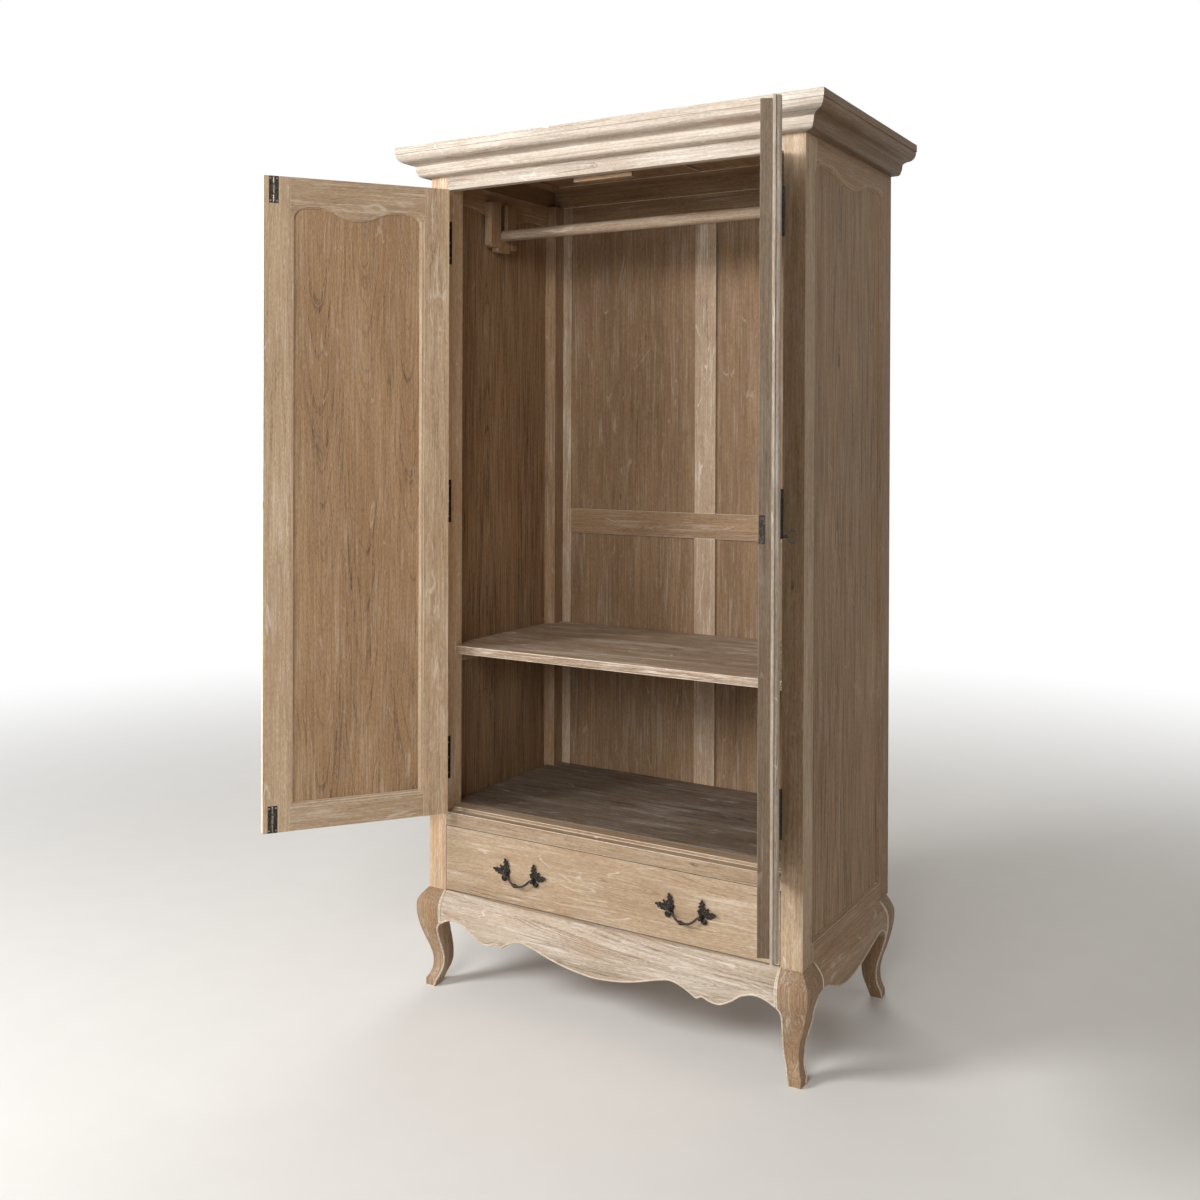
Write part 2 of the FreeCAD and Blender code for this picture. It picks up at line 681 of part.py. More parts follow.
def top_frame():
    """Ceiling rails and muntin, and the plain board that closes the cornice at the back."""
    side, front, back, foot = ceiling_limits()
    level = (foot, foot + CEILING_THICKNESS)
    front_sight = front + CEILING_RAIL_WIDTH
    back_sight = back - CEILING_RAIL_WIDTH
    inner = side - CEILING_RAIL_WIDTH
    half_muntin = CEILING_MUNTIN_WIDTH / 2
    members = [
        block((-side, -inner), (front, back), level),
        block((inner, side), (front, back), level),
        block((-inner, inner), (front, front_sight), level),
        block((-inner, inner), (back_sight, back), level),
        block((-half_muntin, half_muntin), (front_sight, back_sight), level),
    ]
    groove_foot = foot + (CEILING_THICKNESS - PANEL_THICKNESS) / 2
    for column, depth in ceiling_panel_openings(GROOVE_DEPTH):
        groove = block(column, depth, (groove_foot, groove_foot + PANEL_THICKNESS))
        members = [member.cut(groove) for member in members]
    board_half = HALF_WIDTH - CORNICE_BEARING
    board_level = (CORNICE_FOOT, HEIGHT - CEILING_LEDGE_DEPTH)
    members.append(block((-board_half, board_half), (back, BACK), board_level))
    return gathered(members)


def ceiling_panels():
    """The two flat panels of the ceiling."""
    foot = ceiling_limits()[3] + (CEILING_THICKNESS - PANEL_THICKNESS) / 2
    margin = GROOVE_DEPTH - PANEL_PLAY
    level = (foot, foot + PANEL_THICKNESS)
    return gathered(block(column, depth, level) for column, depth in ceiling_panel_openings(margin))


# Rails across the front
def strike_hole(foot, top):
    """Hole for a flush bolt of the left door, between two heights."""
    centre = bolt_centre()
    half_width = BOLT_WIDTH / 2 + BOLT_PLAY * 2
    half_depth = BOLT_DEPTH / 2 + BOLT_PLAY * 2
    across = (centre.x - half_width, centre.x + half_width)
    depth = (centre.y - half_depth, centre.y + half_depth)
    return block(across, depth, (foot, top))


def frieze_rail():
    """Rail between the front posts over the doors, with the upper bolt hole."""
    rail = block((-HALF_OPENING, HALF_OPENING), (FRONT, STOP_FACE), (FRIEZE_FOOT, CORNICE_FOOT))
    return rail.cut(strike_hole(FRIEZE_FOOT - OVERRUN, FRIEZE_FOOT + STRIKE_DEPTH))


def drawer_rail():
    """Rail over the drawer: a lip under the doors and a step behind them that stops the doors."""
    outline = Outline(INWARD, UP, (FRONT, DRAWER_RAIL_FOOT), Vector(-HALF_OPENING, 0, 0))
    outline.line(
        (POST_REAR, DRAWER_RAIL_FOOT), (POST_REAR, DECK_TOP), (STOP_FACE, DECK_TOP),
        (STOP_FACE, LIP_TOP), (FRONT, LIP_TOP),
    )
    rail = outline.prism(ACROSS * (HALF_OPENING * 2))
    return rail.cut(strike_hole(LIP_TOP - STRIKE_DEPTH, LIP_TOP + OVERRUN))


# Boards inside
def notched_board(front, back, foot, thickness):
    """A board that fits between the side panels and is notched round the posts."""
    wide = SIDE_INNER - BOARD_PLAY
    narrow = HALF_OPENING - BOARD_PLAY
    front_notch = POST_REAR + BOARD_PLAY
    back_notch = REAR_POST_FRONT - BOARD_PLAY
    outline = Outline(ACROSS, INWARD, (-narrow, front), UP * foot)
    outline.line(
        (narrow, front), (narrow, front_notch), (wide, front_notch), (wide, back_notch),
        (narrow, back_notch), (narrow, back), (-narrow, back), (-narrow, back_notch),
        (-wide, back_notch), (-wide, front_notch), (-narrow, front_notch),
    )
    return outline.prism(UP * thickness)


def deck():
    """Floor of the hanging space, over the drawer and level with the door step."""
    wide = SIDE_INNER - BOARD_PLAY
    narrow = HALF_OPENING - BOARD_PLAY
    back_notch = REAR_POST_FRONT - BOARD_PLAY
    outline = Outline(ACROSS, INWARD, (-wide, POST_REAR), UP * (DECK_TOP - DECK_THICKNESS))
    outline.line(
        (wide, POST_REAR), (wide, back_notch), (narrow, back_notch), (narrow, BACK_FACE),
        (-narrow, BACK_FACE), (-narrow, back_notch), (-wide, back_notch),
    )
    return outline.prism(UP * DECK_THICKNESS)


def shelf():
    """Shelf across the lower part of the hanging space."""
    return notched_board(FRONT + SHELF_SETBACK, BACK_FACE, SHELF_HEIGHT, SHELF_THICKNESS)


def board_battens():
    """Four battens between the posts, under the ends of the deck and the shelf."""
    battens = []
    for top in (DECK_TOP - DECK_THICKNESS, SHELF_HEIGHT):
        batten = block((HALF_OPENING, SIDE_INNER), (POST_REAR, REAR_POST_FRONT), (top - BATTEN_HEIGHT, top))
        battens += [batten, mirrored(batten)]
    return gathered(battens)


def drawer_runners():
    """Two runners with guides, between the front and rear posts beside the drawer."""
    foot = BASE_HEIGHT + DRAWER_BOTTOM_GAP - RUNNER_THICKNESS
    top = BASE_HEIGHT + DRAWER_BOTTOM_GAP
    outline = Outline(ACROSS, UP, (SIDE_INNER - RUNNER_WIDTH, foot), Vector(0, POST_REAR, 0))
    guide = HALF_OPENING - GUIDE_PLAY
    outline.line(
        (SIDE_INNER, foot), (SIDE_INNER, top + GUIDE_HEIGHT), (guide, top + GUIDE_HEIGHT),
        (guide, top), (SIDE_INNER - RUNNER_WIDTH, top),
    )
    runner = outline.prism(INWARD * (REAR_POST_FRONT - POST_REAR))
    return gathered((runner, mirrored(runner)))


# Hanging rail
def hanging_rail():
    """Round wooden rail for hangers."""
    reach = SIDE_INNER - ROD_END_PLAY
    return rod(ROD_RADIUS, Vector(-reach, ROD_OFFSET, ROD_HEIGHT), Vector(reach, ROD_OFFSET, ROD_HEIGHT))


def rail_brackets():
    """Two shaped brackets with an open slot that the hanging rail drops into."""
    half = BRACKET_WIDTH / 2
    slot = ROD_RADIUS + SLOT_PLAY
    top = BRACKET_TOP_ABOVE_ROD
    foot = -BRACKET_FOOT_BELOW_ROD
    ear = foot + BRACKET_EAR_DROP
    inner_face = Vector(SIDE_INNER - BRACKET_THICKNESS, ROD_OFFSET, ROD_HEIGHT)
    outline = Outline(INWARD, UP, (-half, top), inner_face)
    outline.line((-half, ear))
    outline.blend((0, -1), (-half / 2, (ear + foot) / 2), (1, 0))
    outline.blend((0, -1), (0, foot), (1, 0))
    outline.blend((1, 0), (half / 2, (ear + foot) / 2), (0, 1))
    outline.blend((1, 0), (half, ear), (0, 1))
    outline.line((half, top), (slot, top), (slot, 0))
    outline.arc((0, -slot), (-slot, 0))
    outline.line((-slot, top))
    bracket = outline.prism(ACROSS * BRACKET_THICKNESS)
    return gathered((bracket, mirrored(bracket)))


def door_stop_block():
    """Shaped block behind the frieze that both doors close against."""
    half = STOP_WIDTH / 2
    level = FRIEZE_FOOT - STOP_DROP
    outline = Outline(ACROSS, INWARD, (-half, 0), Vector(-STOP_OFFSET, STOP_FACE, level))
    outline.line((half, 0))
    outline.blend((0, 1), (0, STOP_DEPTH), (-1, 0))
    outline.blend((-1, 0), (-half, 0), (0, -1))
    return outline.prism(UP * (CORNICE_FOOT - level))


# Base: cabriole legs and swelling aprons share two upright profiles
def swell_points(shares, swell, toe_share):
    """Outward swell at each height, from the toe up to the top of the base."""
    toe = (toe_share * swell, TOE_HEIGHT)
    middle = [(out * swell, height * BASE_HEIGHT) for out, height in zip(shares[1:], LEG_HEIGHT_SHARES[1:])]
    return [toe] + middle + [(0, BASE_HEIGHT)]


def inner_points(points, size_shares):
    """Places on the inner face of a leg, below its arch: distance in from the carcass face, height."""
    places = []
    for share, size in zip(LEG_INNER_HEIGHT_SHARES, size_shares):
        height = share * BASE_HEIGHT
        places.append((swell_at(points, height) - size * LEG_SIZE, height))
    return places


def swell_at(points, height):
    """The swell at a height, along straight lines between the points of the profile."""
    for (low_out, low), (high_out, high) in zip(points, points[1:]):
        if low <= height <= high:
            return low_out + (high_out - low_out) * (height - low) / (high - low)
    return points[0][0]


def leg_silhouette(outward, view, ear, origin, sweep):
    """One sawn profile of a cabriole leg, swept straight through the blank."""
    swell, shares, toe_share, size_shares, arch_share = view
    points = swell_points(shares, swell, toe_share)
    toe = toe_share * swell
    inner = inner_points(points, size_shares)
    outline = Outline(outward, UP, (toe, 0), origin)
    outline.line((toe, TOE_HEIGHT))
    outline.flow(points[1:])
    outline.line((-ear, BASE_HEIGHT), (-ear, arch_share * BASE_HEIGHT))
    outline.flow(inner[::-1] + [(toe - FOOT_SIZE, 0)])
    return outline.prism(sweep)


def knee_front():
    """What gives a leg its shape across, as the front shows it: the swell of its outer side."""
    return KNEE_SWELL_SIDE, SIDE_SWELL_SHARES, TOE_SIDE_SHARE, LEG_FRONT_SIZE_SHARES, FRONT_ARCH_SHARE


def knee_side():
    """What gives a leg its shape in depth, as the side shows it: the swell of its front."""
    return KNEE_SWELL_FRONT, FRONT_SWELL_SHARES, TOE_FRONT_SHARE, LEG_SIDE_SIZE_SHARES, SIDE_ARCH_SHARE


def front_leg():
    """Right front cabriole leg: the solid that both sawn profiles share."""
    reach = HALF_WIDTH / 2
    across = Vector(HALF_WIDTH, FRONT - reach, 0)
    deep = Vector(HALF_WIDTH - reach, FRONT, 0)
    front = leg_silhouette(ACROSS, knee_front(), POST_WIDTH, across, INWARD * (reach * 2))
    side = leg_silhouette(INWARD * -1, knee_side(), POST_DEPTH, deep, ACROSS * (reach * 2))
    return front.common(side)


def rear_leg():
    """Right rear leg: cabriole to the side, sawn straight at the back so that it clears a skirting."""
    reach = HALF_WIDTH / 2
    across = Vector(HALF_WIDTH, BACK - reach, 0)
    front = leg_silhouette(ACROSS, knee_front(), POST_WIDTH, across, INWARD * (reach * 2))
    back = BACK - REAR_LEG_INSET
    heel = back - REAR_LEG_LEAN
    knee = LEG_INNER_HEIGHT_SHARES[-1] * BASE_HEIGHT
    ankle = LEG_INNER_HEIGHT_SHARES[1] * BASE_HEIGHT
    outline = Outline(INWARD, UP, (heel, 0), Vector(HALF_WIDTH - reach, 0, 0))
    outline.line((heel, ankle), (back, BASE_HEIGHT), (REAR_POST_FRONT, BASE_HEIGHT), (REAR_POST_FRONT, knee))
    outline.flow([(heel - LEG_SIZE * LEG_SIDE_SIZE_SHARES[1], ankle), (heel - FOOT_SIZE, 0)])
    return front.common(outline.prism(ACROSS * (reach * 2)))


def apron_section(outward, swell, shares, origin, depth):
    """The upright section of an apron board whose face swells like the knees."""
    points = swell_points(shares, swell, 0)
    outline = Outline(outward, UP, (-depth, points[1][1]), origin)
    outline.line(points[1])
    outline.flow(points[2:])
    outline.line((-depth, BASE_HEIGHT))
    return outline


def bowed_board(half):
    """The front apron's board: its section turned about a far upright line, so that the face bows."""
    radius = (half ** 2 + APRON_BOW ** 2) / APRON_BOW / 2
    hub = Vector(0, FRONT - APRON_BOW + radius, 0)
    spread = math.degrees(math.asin((half + OVERRUN) / radius))
    middle = Vector(0, FRONT - APRON_BOW, 0)
    depth = APRON_THICKNESS + APRON_BOW * 2
    board = apron_section(-INWARD, KNEE_SWELL_FRONT, FRONT_SWELL_SHARES, middle, depth).face()
    board.rotate(hub, UP, -spread)
    return board.revolve(hub, UP, spread * 2)


def front_apron():
    """Front apron: a swelling board with a shaped lower edge, symmetrical about the middle."""
    half = HALF_OPENING

    def place(share, side):
        return (side * share[0] * half, share[1] * BASE_HEIGHT)

    reach = CARCASS_DEPTH / 2
    outline = Outline(ACROSS, UP, (-half, BASE_HEIGHT + OVERRUN), Vector(0, FRONT - reach, 0))
    outline.line((-half, FRONT_ARCH_SHARE * BASE_HEIGHT))
    outline.flow([place(share, -1) for share in FRONT_ARCH_SHARES + (FRONT_NOTCH_SHARE,)])
    outline.line(place(FRONT_TIP_SHARE, -1))
    rising = [place(share, -1) for share in FRONT_LOBE_SHARES]
    falling = [place(share, 1) for share in FRONT_LOBE_SHARES[::-1] + (FRONT_TIP_SHARE,)]
    outline.flow(rising + [(0, FRONT_MIDDLE_SHARE * BASE_HEIGHT)] + falling)
    outline.line(place(FRONT_NOTCH_SHARE, 1))
    arch = [place(share, 1) for share in FRONT_ARCH_SHARES[::-1]]
    outline.flow(arch + [(half, FRONT_ARCH_SHARE * BASE_HEIGHT)])
    outline.line((half, BASE_HEIGHT + OVERRUN))
    shape = outline.prism(INWARD * (reach + APRON_THICKNESS))
    return bowed_board(half).common(shape)


def side_apron():
    """Right side apron, with an arch beside each leg and a lobe between them."""
    span = REAR_POST_FRONT - POST_REAR
    reach = HALF_WIDTH / 2
    places = [(POST_REAR + along * span, height * BASE_HEIGHT) for along, height in SIDE_EDGE_SHARES]
    outline = Outline(INWARD, UP, (POST_REAR, BASE_HEIGHT), Vector(HALF_WIDTH - reach, 0, 0))
    outline.line(places[0])
    outline.flow(places[1:])
    outline.line((REAR_POST_FRONT, BASE_HEIGHT))
    shape = outline.prism(ACROSS * (reach * 2))
    start = Vector(HALF_WIDTH, POST_REAR, 0)
    section = apron_section(ACROSS, KNEE_SWELL_SIDE, SIDE_SWELL_SHARES, start, APRON_THICKNESS)
    return section.prism(INWARD * span).common(shape)


def back_apron():
    """Plain rail between the rear legs."""
    back = BACK - REAR_LEG_INSET
    depth = (back - APRON_THICKNESS - REAR_LEG_LEAN, back - REAR_LEG_LEAN)
    return block((-HALF_OPENING, HALF_OPENING), depth, (BASE_HEIGHT - BACK_APRON_HEIGHT, BASE_HEIGHT))


# Doors, drawn closed. The right door is drawn and the left door's wood is its mirror image.
def door_span():
    """Limits of the closed right door across: its meeting edge and its hinge edge."""
    hinge_edge = HALF_OPENING - DOOR_HINGE_GAP
    return hinge_edge - DOOR_WIDTH, hinge_edge


def door_opening(margin, front, back):
    """The panel hole of the right door, enlarged by a margin, between two depths."""
    meeting, hinge = door_span()
    return serpentine_opening(
        ACROSS, meeting + DOOR_SIGHT - margin, hinge - DOOR_SIGHT + margin,
        DOOR_FOOT + DOOR_BOTTOM_RAIL - margin, DOOR_TOP - DOOR_TOP_RAIL + margin,
        INWARD * (back - front), Vector(0, front, 0),
    )


def door_frame():
    """The whole frame of the right door, moulded on both faces and grooved for its panel."""
    meeting, hinge = door_span()
    rear = FRONT + DOOR_THICKNESS
    slab = block((meeting, hinge), (FRONT, rear), (DOOR_FOOT, DOOR_TOP))
    frame = slab.cut(door_opening(0, FRONT - OVERRUN, rear + OVERRUN))
    rim = []
    for face in (FRONT, rear):
        rim += [edge for edge in edges_in_plane(frame, "Y", face) if not on_door_border(edge)]
    frame = frame.makeChamfer(DOOR_BEVEL, rim)
    frame = frame.cut(door_opening(DOOR_SUNK_WIDTH, FRONT - OVERRUN, FRONT + DOOR_SUNK_DEPTH))
    frame = frame.cut(door_opening(DOOR_SUNK_WIDTH, rear - DOOR_SUNK_DEPTH, rear + OVERRUN))
    inset = (DOOR_THICKNESS - PANEL_THICKNESS) / 2
    return frame.cut(door_opening(GROOVE_DEPTH, FRONT + inset, rear - inset))


def on_door_border(edge):
    """Whether an edge is on the outer border of the right door."""
    meeting, hinge = door_span()
    box = edge.BoundBox
    at_side = box.XMin < meeting + OVERRUN or box.XMax > hinge - OVERRUN
    at_end = box.ZMin < DOOR_FOOT + OVERRUN or box.ZMax > DOOR_TOP - OVERRUN
    return at_side or at_end


def rail_zone(sight, border):
    """Where a door rail lies: between the stiles, with its moulding mitred to theirs."""
    meeting, hinge = door_span()
    away = math.copysign(DOOR_MOULDING_WIDTH, border - sight)
    outline = Outline(ACROSS, UP, (meeting + DOOR_STILE_WIDTH, border), Vector(0, FRONT - OVERRUN, 0))
    outline.line(
        (meeting + DOOR_STILE_WIDTH, sight + away),
        (meeting + DOOR_SIGHT, sight), (hinge - DOOR_SIGHT, sight),
        (hinge - DOOR_STILE_WIDTH, sight + away), (hinge - DOOR_STILE_WIDTH, border),
    )
    return outline.prism(INWARD * (DOOR_THICKNESS + OVERRUN * 2))


def door_parts():
    """The right door's two stiles, two rails and panel, before its fittings are let in."""
    frame = door_frame()
    top_zone = rail_zone(DOOR_TOP - DOOR_TOP_RAIL - HEAD_MITRE_DROP, DOOR_TOP)
    bottom_zone = rail_zone(DOOR_FOOT + DOOR_BOTTOM_RAIL, DOOR_FOOT)
    stiles = frame.cut(top_zone).cut(bottom_zone).Solids
    stiles.sort(key=lambda solid: solid.CenterOfMass.x)
    inset = (DOOR_THICKNESS - PANEL_THICKNESS) / 2
    panel = door_opening(GROOVE_DEPTH - PANEL_PLAY, FRONT + inset, FRONT + DOOR_THICKNESS - inset)
    return {
        "meeting_stile": stiles[0],
        "hinge_stile": stiles[-1],
        "top_rail": frame.common(top_zone),
        "bottom_rail": frame.common(bottom_zone),
        "panel": panel,
    }


def astragal():
    """Moulded strip on the right door that covers the meeting edge of the left door."""
    meeting, _ = door_span()
    lap = meeting - ASTRAGAL_LAP
    fixed = lap + ASTRAGAL_WIDTH
    fillet = ASTRAGAL_FILLET_WIDTH
    quirk = fillet + ASTRAGAL_QUIRK
    step = ASTRAGAL_FILLET_HEIGHT
    crown = ASTRAGAL_THICKNESS
    turn = ASTRAGAL_BEAD * (1 - math.sqrt(1 / 2))
    outline = Outline(ACROSS, INWARD * -1, (fixed, 0), Vector(0, FRONT, DOOR_FOOT))
    outline.line(
        (fixed, step), (fixed - fillet, step), (fixed - fillet, step - ASTRAGAL_QUIRK),
        (fixed - quirk, step - ASTRAGAL_QUIRK), (fixed - quirk, crown - ASTRAGAL_BEAD),
    )
    outline.arc((fixed - quirk - turn, crown - turn), (fixed - quirk - ASTRAGAL_BEAD, crown))
    outline.line((lap + quirk + ASTRAGAL_BEAD, crown))
    outline.arc((lap + quirk + turn, crown - turn), (lap + quirk, crown - ASTRAGAL_BEAD))
    outline.line(
        (lap + quirk, step - ASTRAGAL_QUIRK), (lap + fillet, step - ASTRAGAL_QUIRK), (lap + fillet, step),
        (lap, step), (lap, ASTRAGAL_CLEARANCE), (meeting, ASTRAGAL_CLEARANCE), (meeting, 0),
    )
    return outline.prism(UP * DOOR_HEIGHT)


# Butt hinges of the right door, drawn closed
def hinge_centres():
    """Heights of the three hinges of a door."""
    return [DOOR_FOOT + share * DOOR_HEIGHT for share in HINGE_HEIGHT_SHARES]


def hinge_leaf(centre, at_door):
    """One leaf with its knuckles. The pin is fixed in the post's leaf and runs in the door's."""
    foot = centre - HINGE_LENGTH / 2
    if at_door:
        plate_x = (HALF_OPENING - DOOR_HINGE_GAP - HINGE_LEAF_THICKNESS, HALF_OPENING - DOOR_HINGE_GAP)
    else:
        plate_x = (HALF_OPENING, HALF_OPENING + HINGE_LEAF_THICKNESS)
    leaf = block(plate_x, (FRONT, FRONT + HINGE_LEAF_WIDTH), (foot, foot + HINGE_LENGTH))
    pitch = HINGE_LENGTH / HINGE_KNUCKLES
    for number in range(int(at_door), HINGE_KNUCKLES, 2):
        low = foot + number * pitch + HINGE_KNUCKLE_GAP
        high = foot + (number + 1) * pitch - HINGE_KNUCKLE_GAP
        web = block(plate_x, (HINGE_Y, FRONT), (low, high))
        knuckle_ends = [Vector(HINGE_X, HINGE_Y, level) for level in (low, high)]
        leaf = leaf.fuse(web).fuse(faceted_rod(HINGE_BARREL_RADIUS, *knuckle_ends))
    start = Vector(HINGE_X, HINGE_Y, foot + HINGE_KNUCKLE_GAP)
    end = Vector(HINGE_X, HINGE_Y, foot + HINGE_LENGTH - HINGE_KNUCKLE_GAP)
    if at_door:
        leaf = leaf.cut(rod(HINGE_PIN_RADIUS + HINGE_PIN_PLAY, start, end))
    else:
        leaf = leaf.fuse(rod(HINGE_PIN_RADIUS, start, end))
    return leaf.removeSplitter()


def hinge_seats(at_door):
    """The mortises for one side's leaves."""
    if at_door:
        seat_x = (HALF_OPENING - DOOR_HINGE_GAP - HINGE_LEAF_THICKNESS, HALF_OPENING)
    else:
        seat_x = (HALF_OPENING - DOOR_HINGE_GAP, HALF_OPENING + HINGE_LEAF_THICKNESS)
    half = HINGE_LENGTH / 2
    return gathered(
        block(seat_x, (FRONT - OVERRUN, FRONT + HINGE_LEAF_WIDTH), (centre - half, centre + half))
        for centre in hinge_centres()
    )


# Flush bolts of the left door, drawn closed on the left door itself
def bolt_centre():
    """Plan centre of the flush bolts of the closed left door."""
    meeting = -door_span()[0]
    across = meeting - BOLT_CASE_EDGE - BOLT_CASE_WIDTH / 2
    depth = FRONT + DOOR_THICKNESS - BOLT_CASE_DEPTH + BOLT_FLOOR + BOLT_PLAY + BOLT_DEPTH / 2
    return Vector(across, depth, 0)


def bolt_case(end, inward):
    """A flush bolt's case from the door's end inwards, with its bolt channel and knob slot."""
    centre = bolt_centre()
    rear = FRONT + DOOR_THICKNESS
    inner_end = end + inward * BOLT_CASE_LENGTH
    level = (min(end, inner_end), max(end, inner_end))
    half = BOLT_CASE_WIDTH / 2
    case = block((centre.x - half, centre.x + half), (rear - BOLT_CASE_DEPTH, rear), level)
    half_bolt = BOLT_WIDTH / 2 + BOLT_PLAY
    half_depth = BOLT_DEPTH / 2 + BOLT_PLAY
    half_slot = BOLT_KNOB_WIDTH / 2 + BOLT_PLAY
    stop = inner_end - inward * BOLT_FLOOR
    channel_level = (min(end - inward * OVERRUN, stop), max(end - inward * OVERRUN, stop))
    across = (centre.x - half_bolt, centre.x + half_bolt)
    depth = (centre.y - half_depth, centre.y + half_depth)
    channel = block(across, depth, channel_level)
    knob = bolt_knob_level(end, inward)
    moved = knob - inward * BOLT_THROW
    half_knob = BOLT_KNOB_LENGTH / 2 + BOLT_PLAY
    slot_level = (min(knob, moved) - half_knob, max(knob, moved) + half_knob)
    slot = block((centre.x - half_slot, centre.x + half_slot), (centre.y, rear + OVERRUN), slot_level)
    return case.cut(channel).cut(slot)


def bolt_knob_level(end, inward):
    """Height of the middle of a bolt's thumb knob at rest."""
    return end + inward * (BOLT_SETBACK + BOLT_LENGTH * BOLT_KNOB_SHARE)


def flush_bolt(end, inward):
    """A flat bolt with a thumb knob, drawn back into its case."""
    centre = bolt_centre()
    tip = end + inward * BOLT_SETBACK
    tail = tip + inward * BOLT_LENGTH
    level = (min(tip, tail), max(tip, tail))
    half = BOLT_WIDTH / 2
    bar = block(
        (centre.x - half, centre.x + half), (centre.y - BOLT_DEPTH / 2, centre.y + BOLT_DEPTH / 2), level
    )
    knob = bolt_knob_level(end, inward)
    half_knob = BOLT_KNOB_WIDTH / 2
    thumb = block(
        (centre.x - half_knob, centre.x + half_knob),
        (centre.y, FRONT + DOOR_THICKNESS + BOLT_KNOB_STAND),
        (knob - BOLT_KNOB_LENGTH / 2, knob + BOLT_KNOB_LENGTH / 2),
    )
    return bar.fuse(thumb).removeSplitter()


# Lock of the right door, drawn closed
def lock_box(wall):
    """The lock's outer box, drawn in by a wall thickness on every side."""
    meeting, _ = door_span()
    rear = FRONT + DOOR_THICKNESS
    half = LOCK_HEIGHT / 2 - wall
    return block(
        (meeting + wall, meeting + LOCK_WIDTH - wall), (rear - LOCK_DEPTH + wall, rear - wall),
        (LOCK_CENTRE - half, LOCK_CENTRE + half),
    )


def key_axis():
    """Where the key's axis crosses the front face of the closed door."""
    return Vector(door_span()[0] + KEY_BACKSET, FRONT, LOCK_CENTRE - KEY_DROP)


def key_hole(start, end):
    """The round keyhole with its slot for the bit, between two depths."""
    axis = key_axis()
    radius = KEY_RADIUS + KEY_HOLE_PLAY
    hole = rod(radius, Vector(axis.x, start, axis.z), Vector(axis.x, end, axis.z))
    half = KEY_BIT_THICKNESS / 2 + KEY_HOLE_PLAY
    slot_level = (axis.z - KEY_BIT_REACH - KEY_HOLE_PLAY, axis.z)
    slot = block((axis.x - half, axis.x + half), (start, end), slot_level)
    return hole.fuse(slot)


def bolt_depth():
    """Limits in depth of the lock bolt's head."""
    rear = FRONT + DOOR_THICKNESS
    middle = rear - LOCK_DEPTH / 2
    return middle - LOCK_BOLT_THICKNESS / 2, middle + LOCK_BOLT_THICKNESS / 2


def lock_case():
    """Hollow lock case let into the inner face, with its bolt mouth and keyhole."""
    meeting, _ = door_span()
    rear = FRONT + DOOR_THICKNESS
    play = LOCK_BOLT_PLAY
    near, far = bolt_depth()
    half = LOCK_BOLT_HEIGHT / 2 + play
    mouth = block(
        (meeting - OVERRUN, meeting + LOCK_WALL * 2),
        (near - play, far + play),
        (LOCK_CENTRE - half, LOCK_CENTRE + half),
    )
    front_wall = key_hole(rear - LOCK_DEPTH - OVERRUN, rear - LOCK_DEPTH + LOCK_WALL * 2)
    return lock_box(0).cut(lock_box(LOCK_WALL)).cut(mouth).cut(front_wall)


def lock_bolt():
    """Lock bolt, drawn back: a thick head and a thin tail behind the sweep of the key's bit."""
    meeting, _ = door_span()
    near, far = bolt_depth()
    half = LOCK_BOLT_HEIGHT / 2
    head = block((meeting, meeting + LOCK_BOLT_HEAD), (near, far), (LOCK_CENTRE - half, LOCK_CENTRE + half))
    rear = FRONT + DOOR_THICKNESS - LOCK_WALL - LOCK_BOLT_PLAY
    tail = block(
        (meeting + LOCK_BOLT_HEAD - LOCK_BOLT_JOINT, meeting + LOCK_BOLT_HEAD + LOCK_BOLT_TAIL),
        (rear - LOCK_BOLT_TAIL_THICKNESS, rear), (LOCK_CENTRE - half / 2, LOCK_CENTRE + half / 2),
    )
    return head.fuse(tail).removeSplitter()


def key():
    """Key with an oval bow, a collar and a bit that hangs down inside the lock."""
    axis = key_axis()
    bit_end = FRONT + DOOR_THICKNESS - LOCK_DEPTH + LOCK_WALL + KEY_HOLE_PLAY + KEY_BIT_LENGTH
    stem_end = FRONT - KEY_STEM
    stem = faceted_rod(KEY_RADIUS, Vector(axis.x, stem_end, axis.z), Vector(axis.x, bit_end, axis.z))
    half = KEY_BIT_THICKNESS / 2
    bit = block(
        (axis.x - half, axis.x + half),
        (bit_end - KEY_BIT_LENGTH, bit_end),
        (axis.z - KEY_BIT_REACH, axis.z),
    )
    collar_ends = [Vector(axis.x, level, axis.z) for level in (stem_end, stem_end + KEY_COLLAR_LENGTH)]
    collar = faceted_rod(KEY_COLLAR_RADIUS, *collar_ends)
    return stem.fuse(bit).fuse(collar).fuse(key_bow(axis, stem_end)).removeSplitter()


def key_bow(axis, stem_end):
    """The oval ring at the key's outer end, standing upright."""
    half_wide = KEY_BOW_WIDTH / 2
    centre = Vector(axis.x - KEY_BOW_WIRE, stem_end - half_wide + KEY_BOW_WIRE / 2, axis.z)
    solids = []
    for inset in (0, KEY_BOW_WIRE * 2):
        wide = half_wide - inset
        high = KEY_BOW_HEIGHT / 2 - inset
        oval = Outline(INWARD, UP, (wide, 0), centre)
        oval.blend((0, 1), (0, high), (-1, 0))
        oval.blend((-1, 0), (-wide, 0), (0, -1))
        oval.blend((0, -1), (0, -high), (1, 0))
        oval.blend((1, 0), (wide, 0), (0, 1))
        solids.append(oval.prism(ACROSS * (KEY_BOW_WIRE * 2)))
    return solids[0].cut(solids[1])


# Drawer
def drawer_levels():
    """Foot and top of the drawer front."""
    return BASE_HEIGHT + DRAWER_BOTTOM_GAP, DRAWER_RAIL_FOOT - DRAWER_TOP_GAP


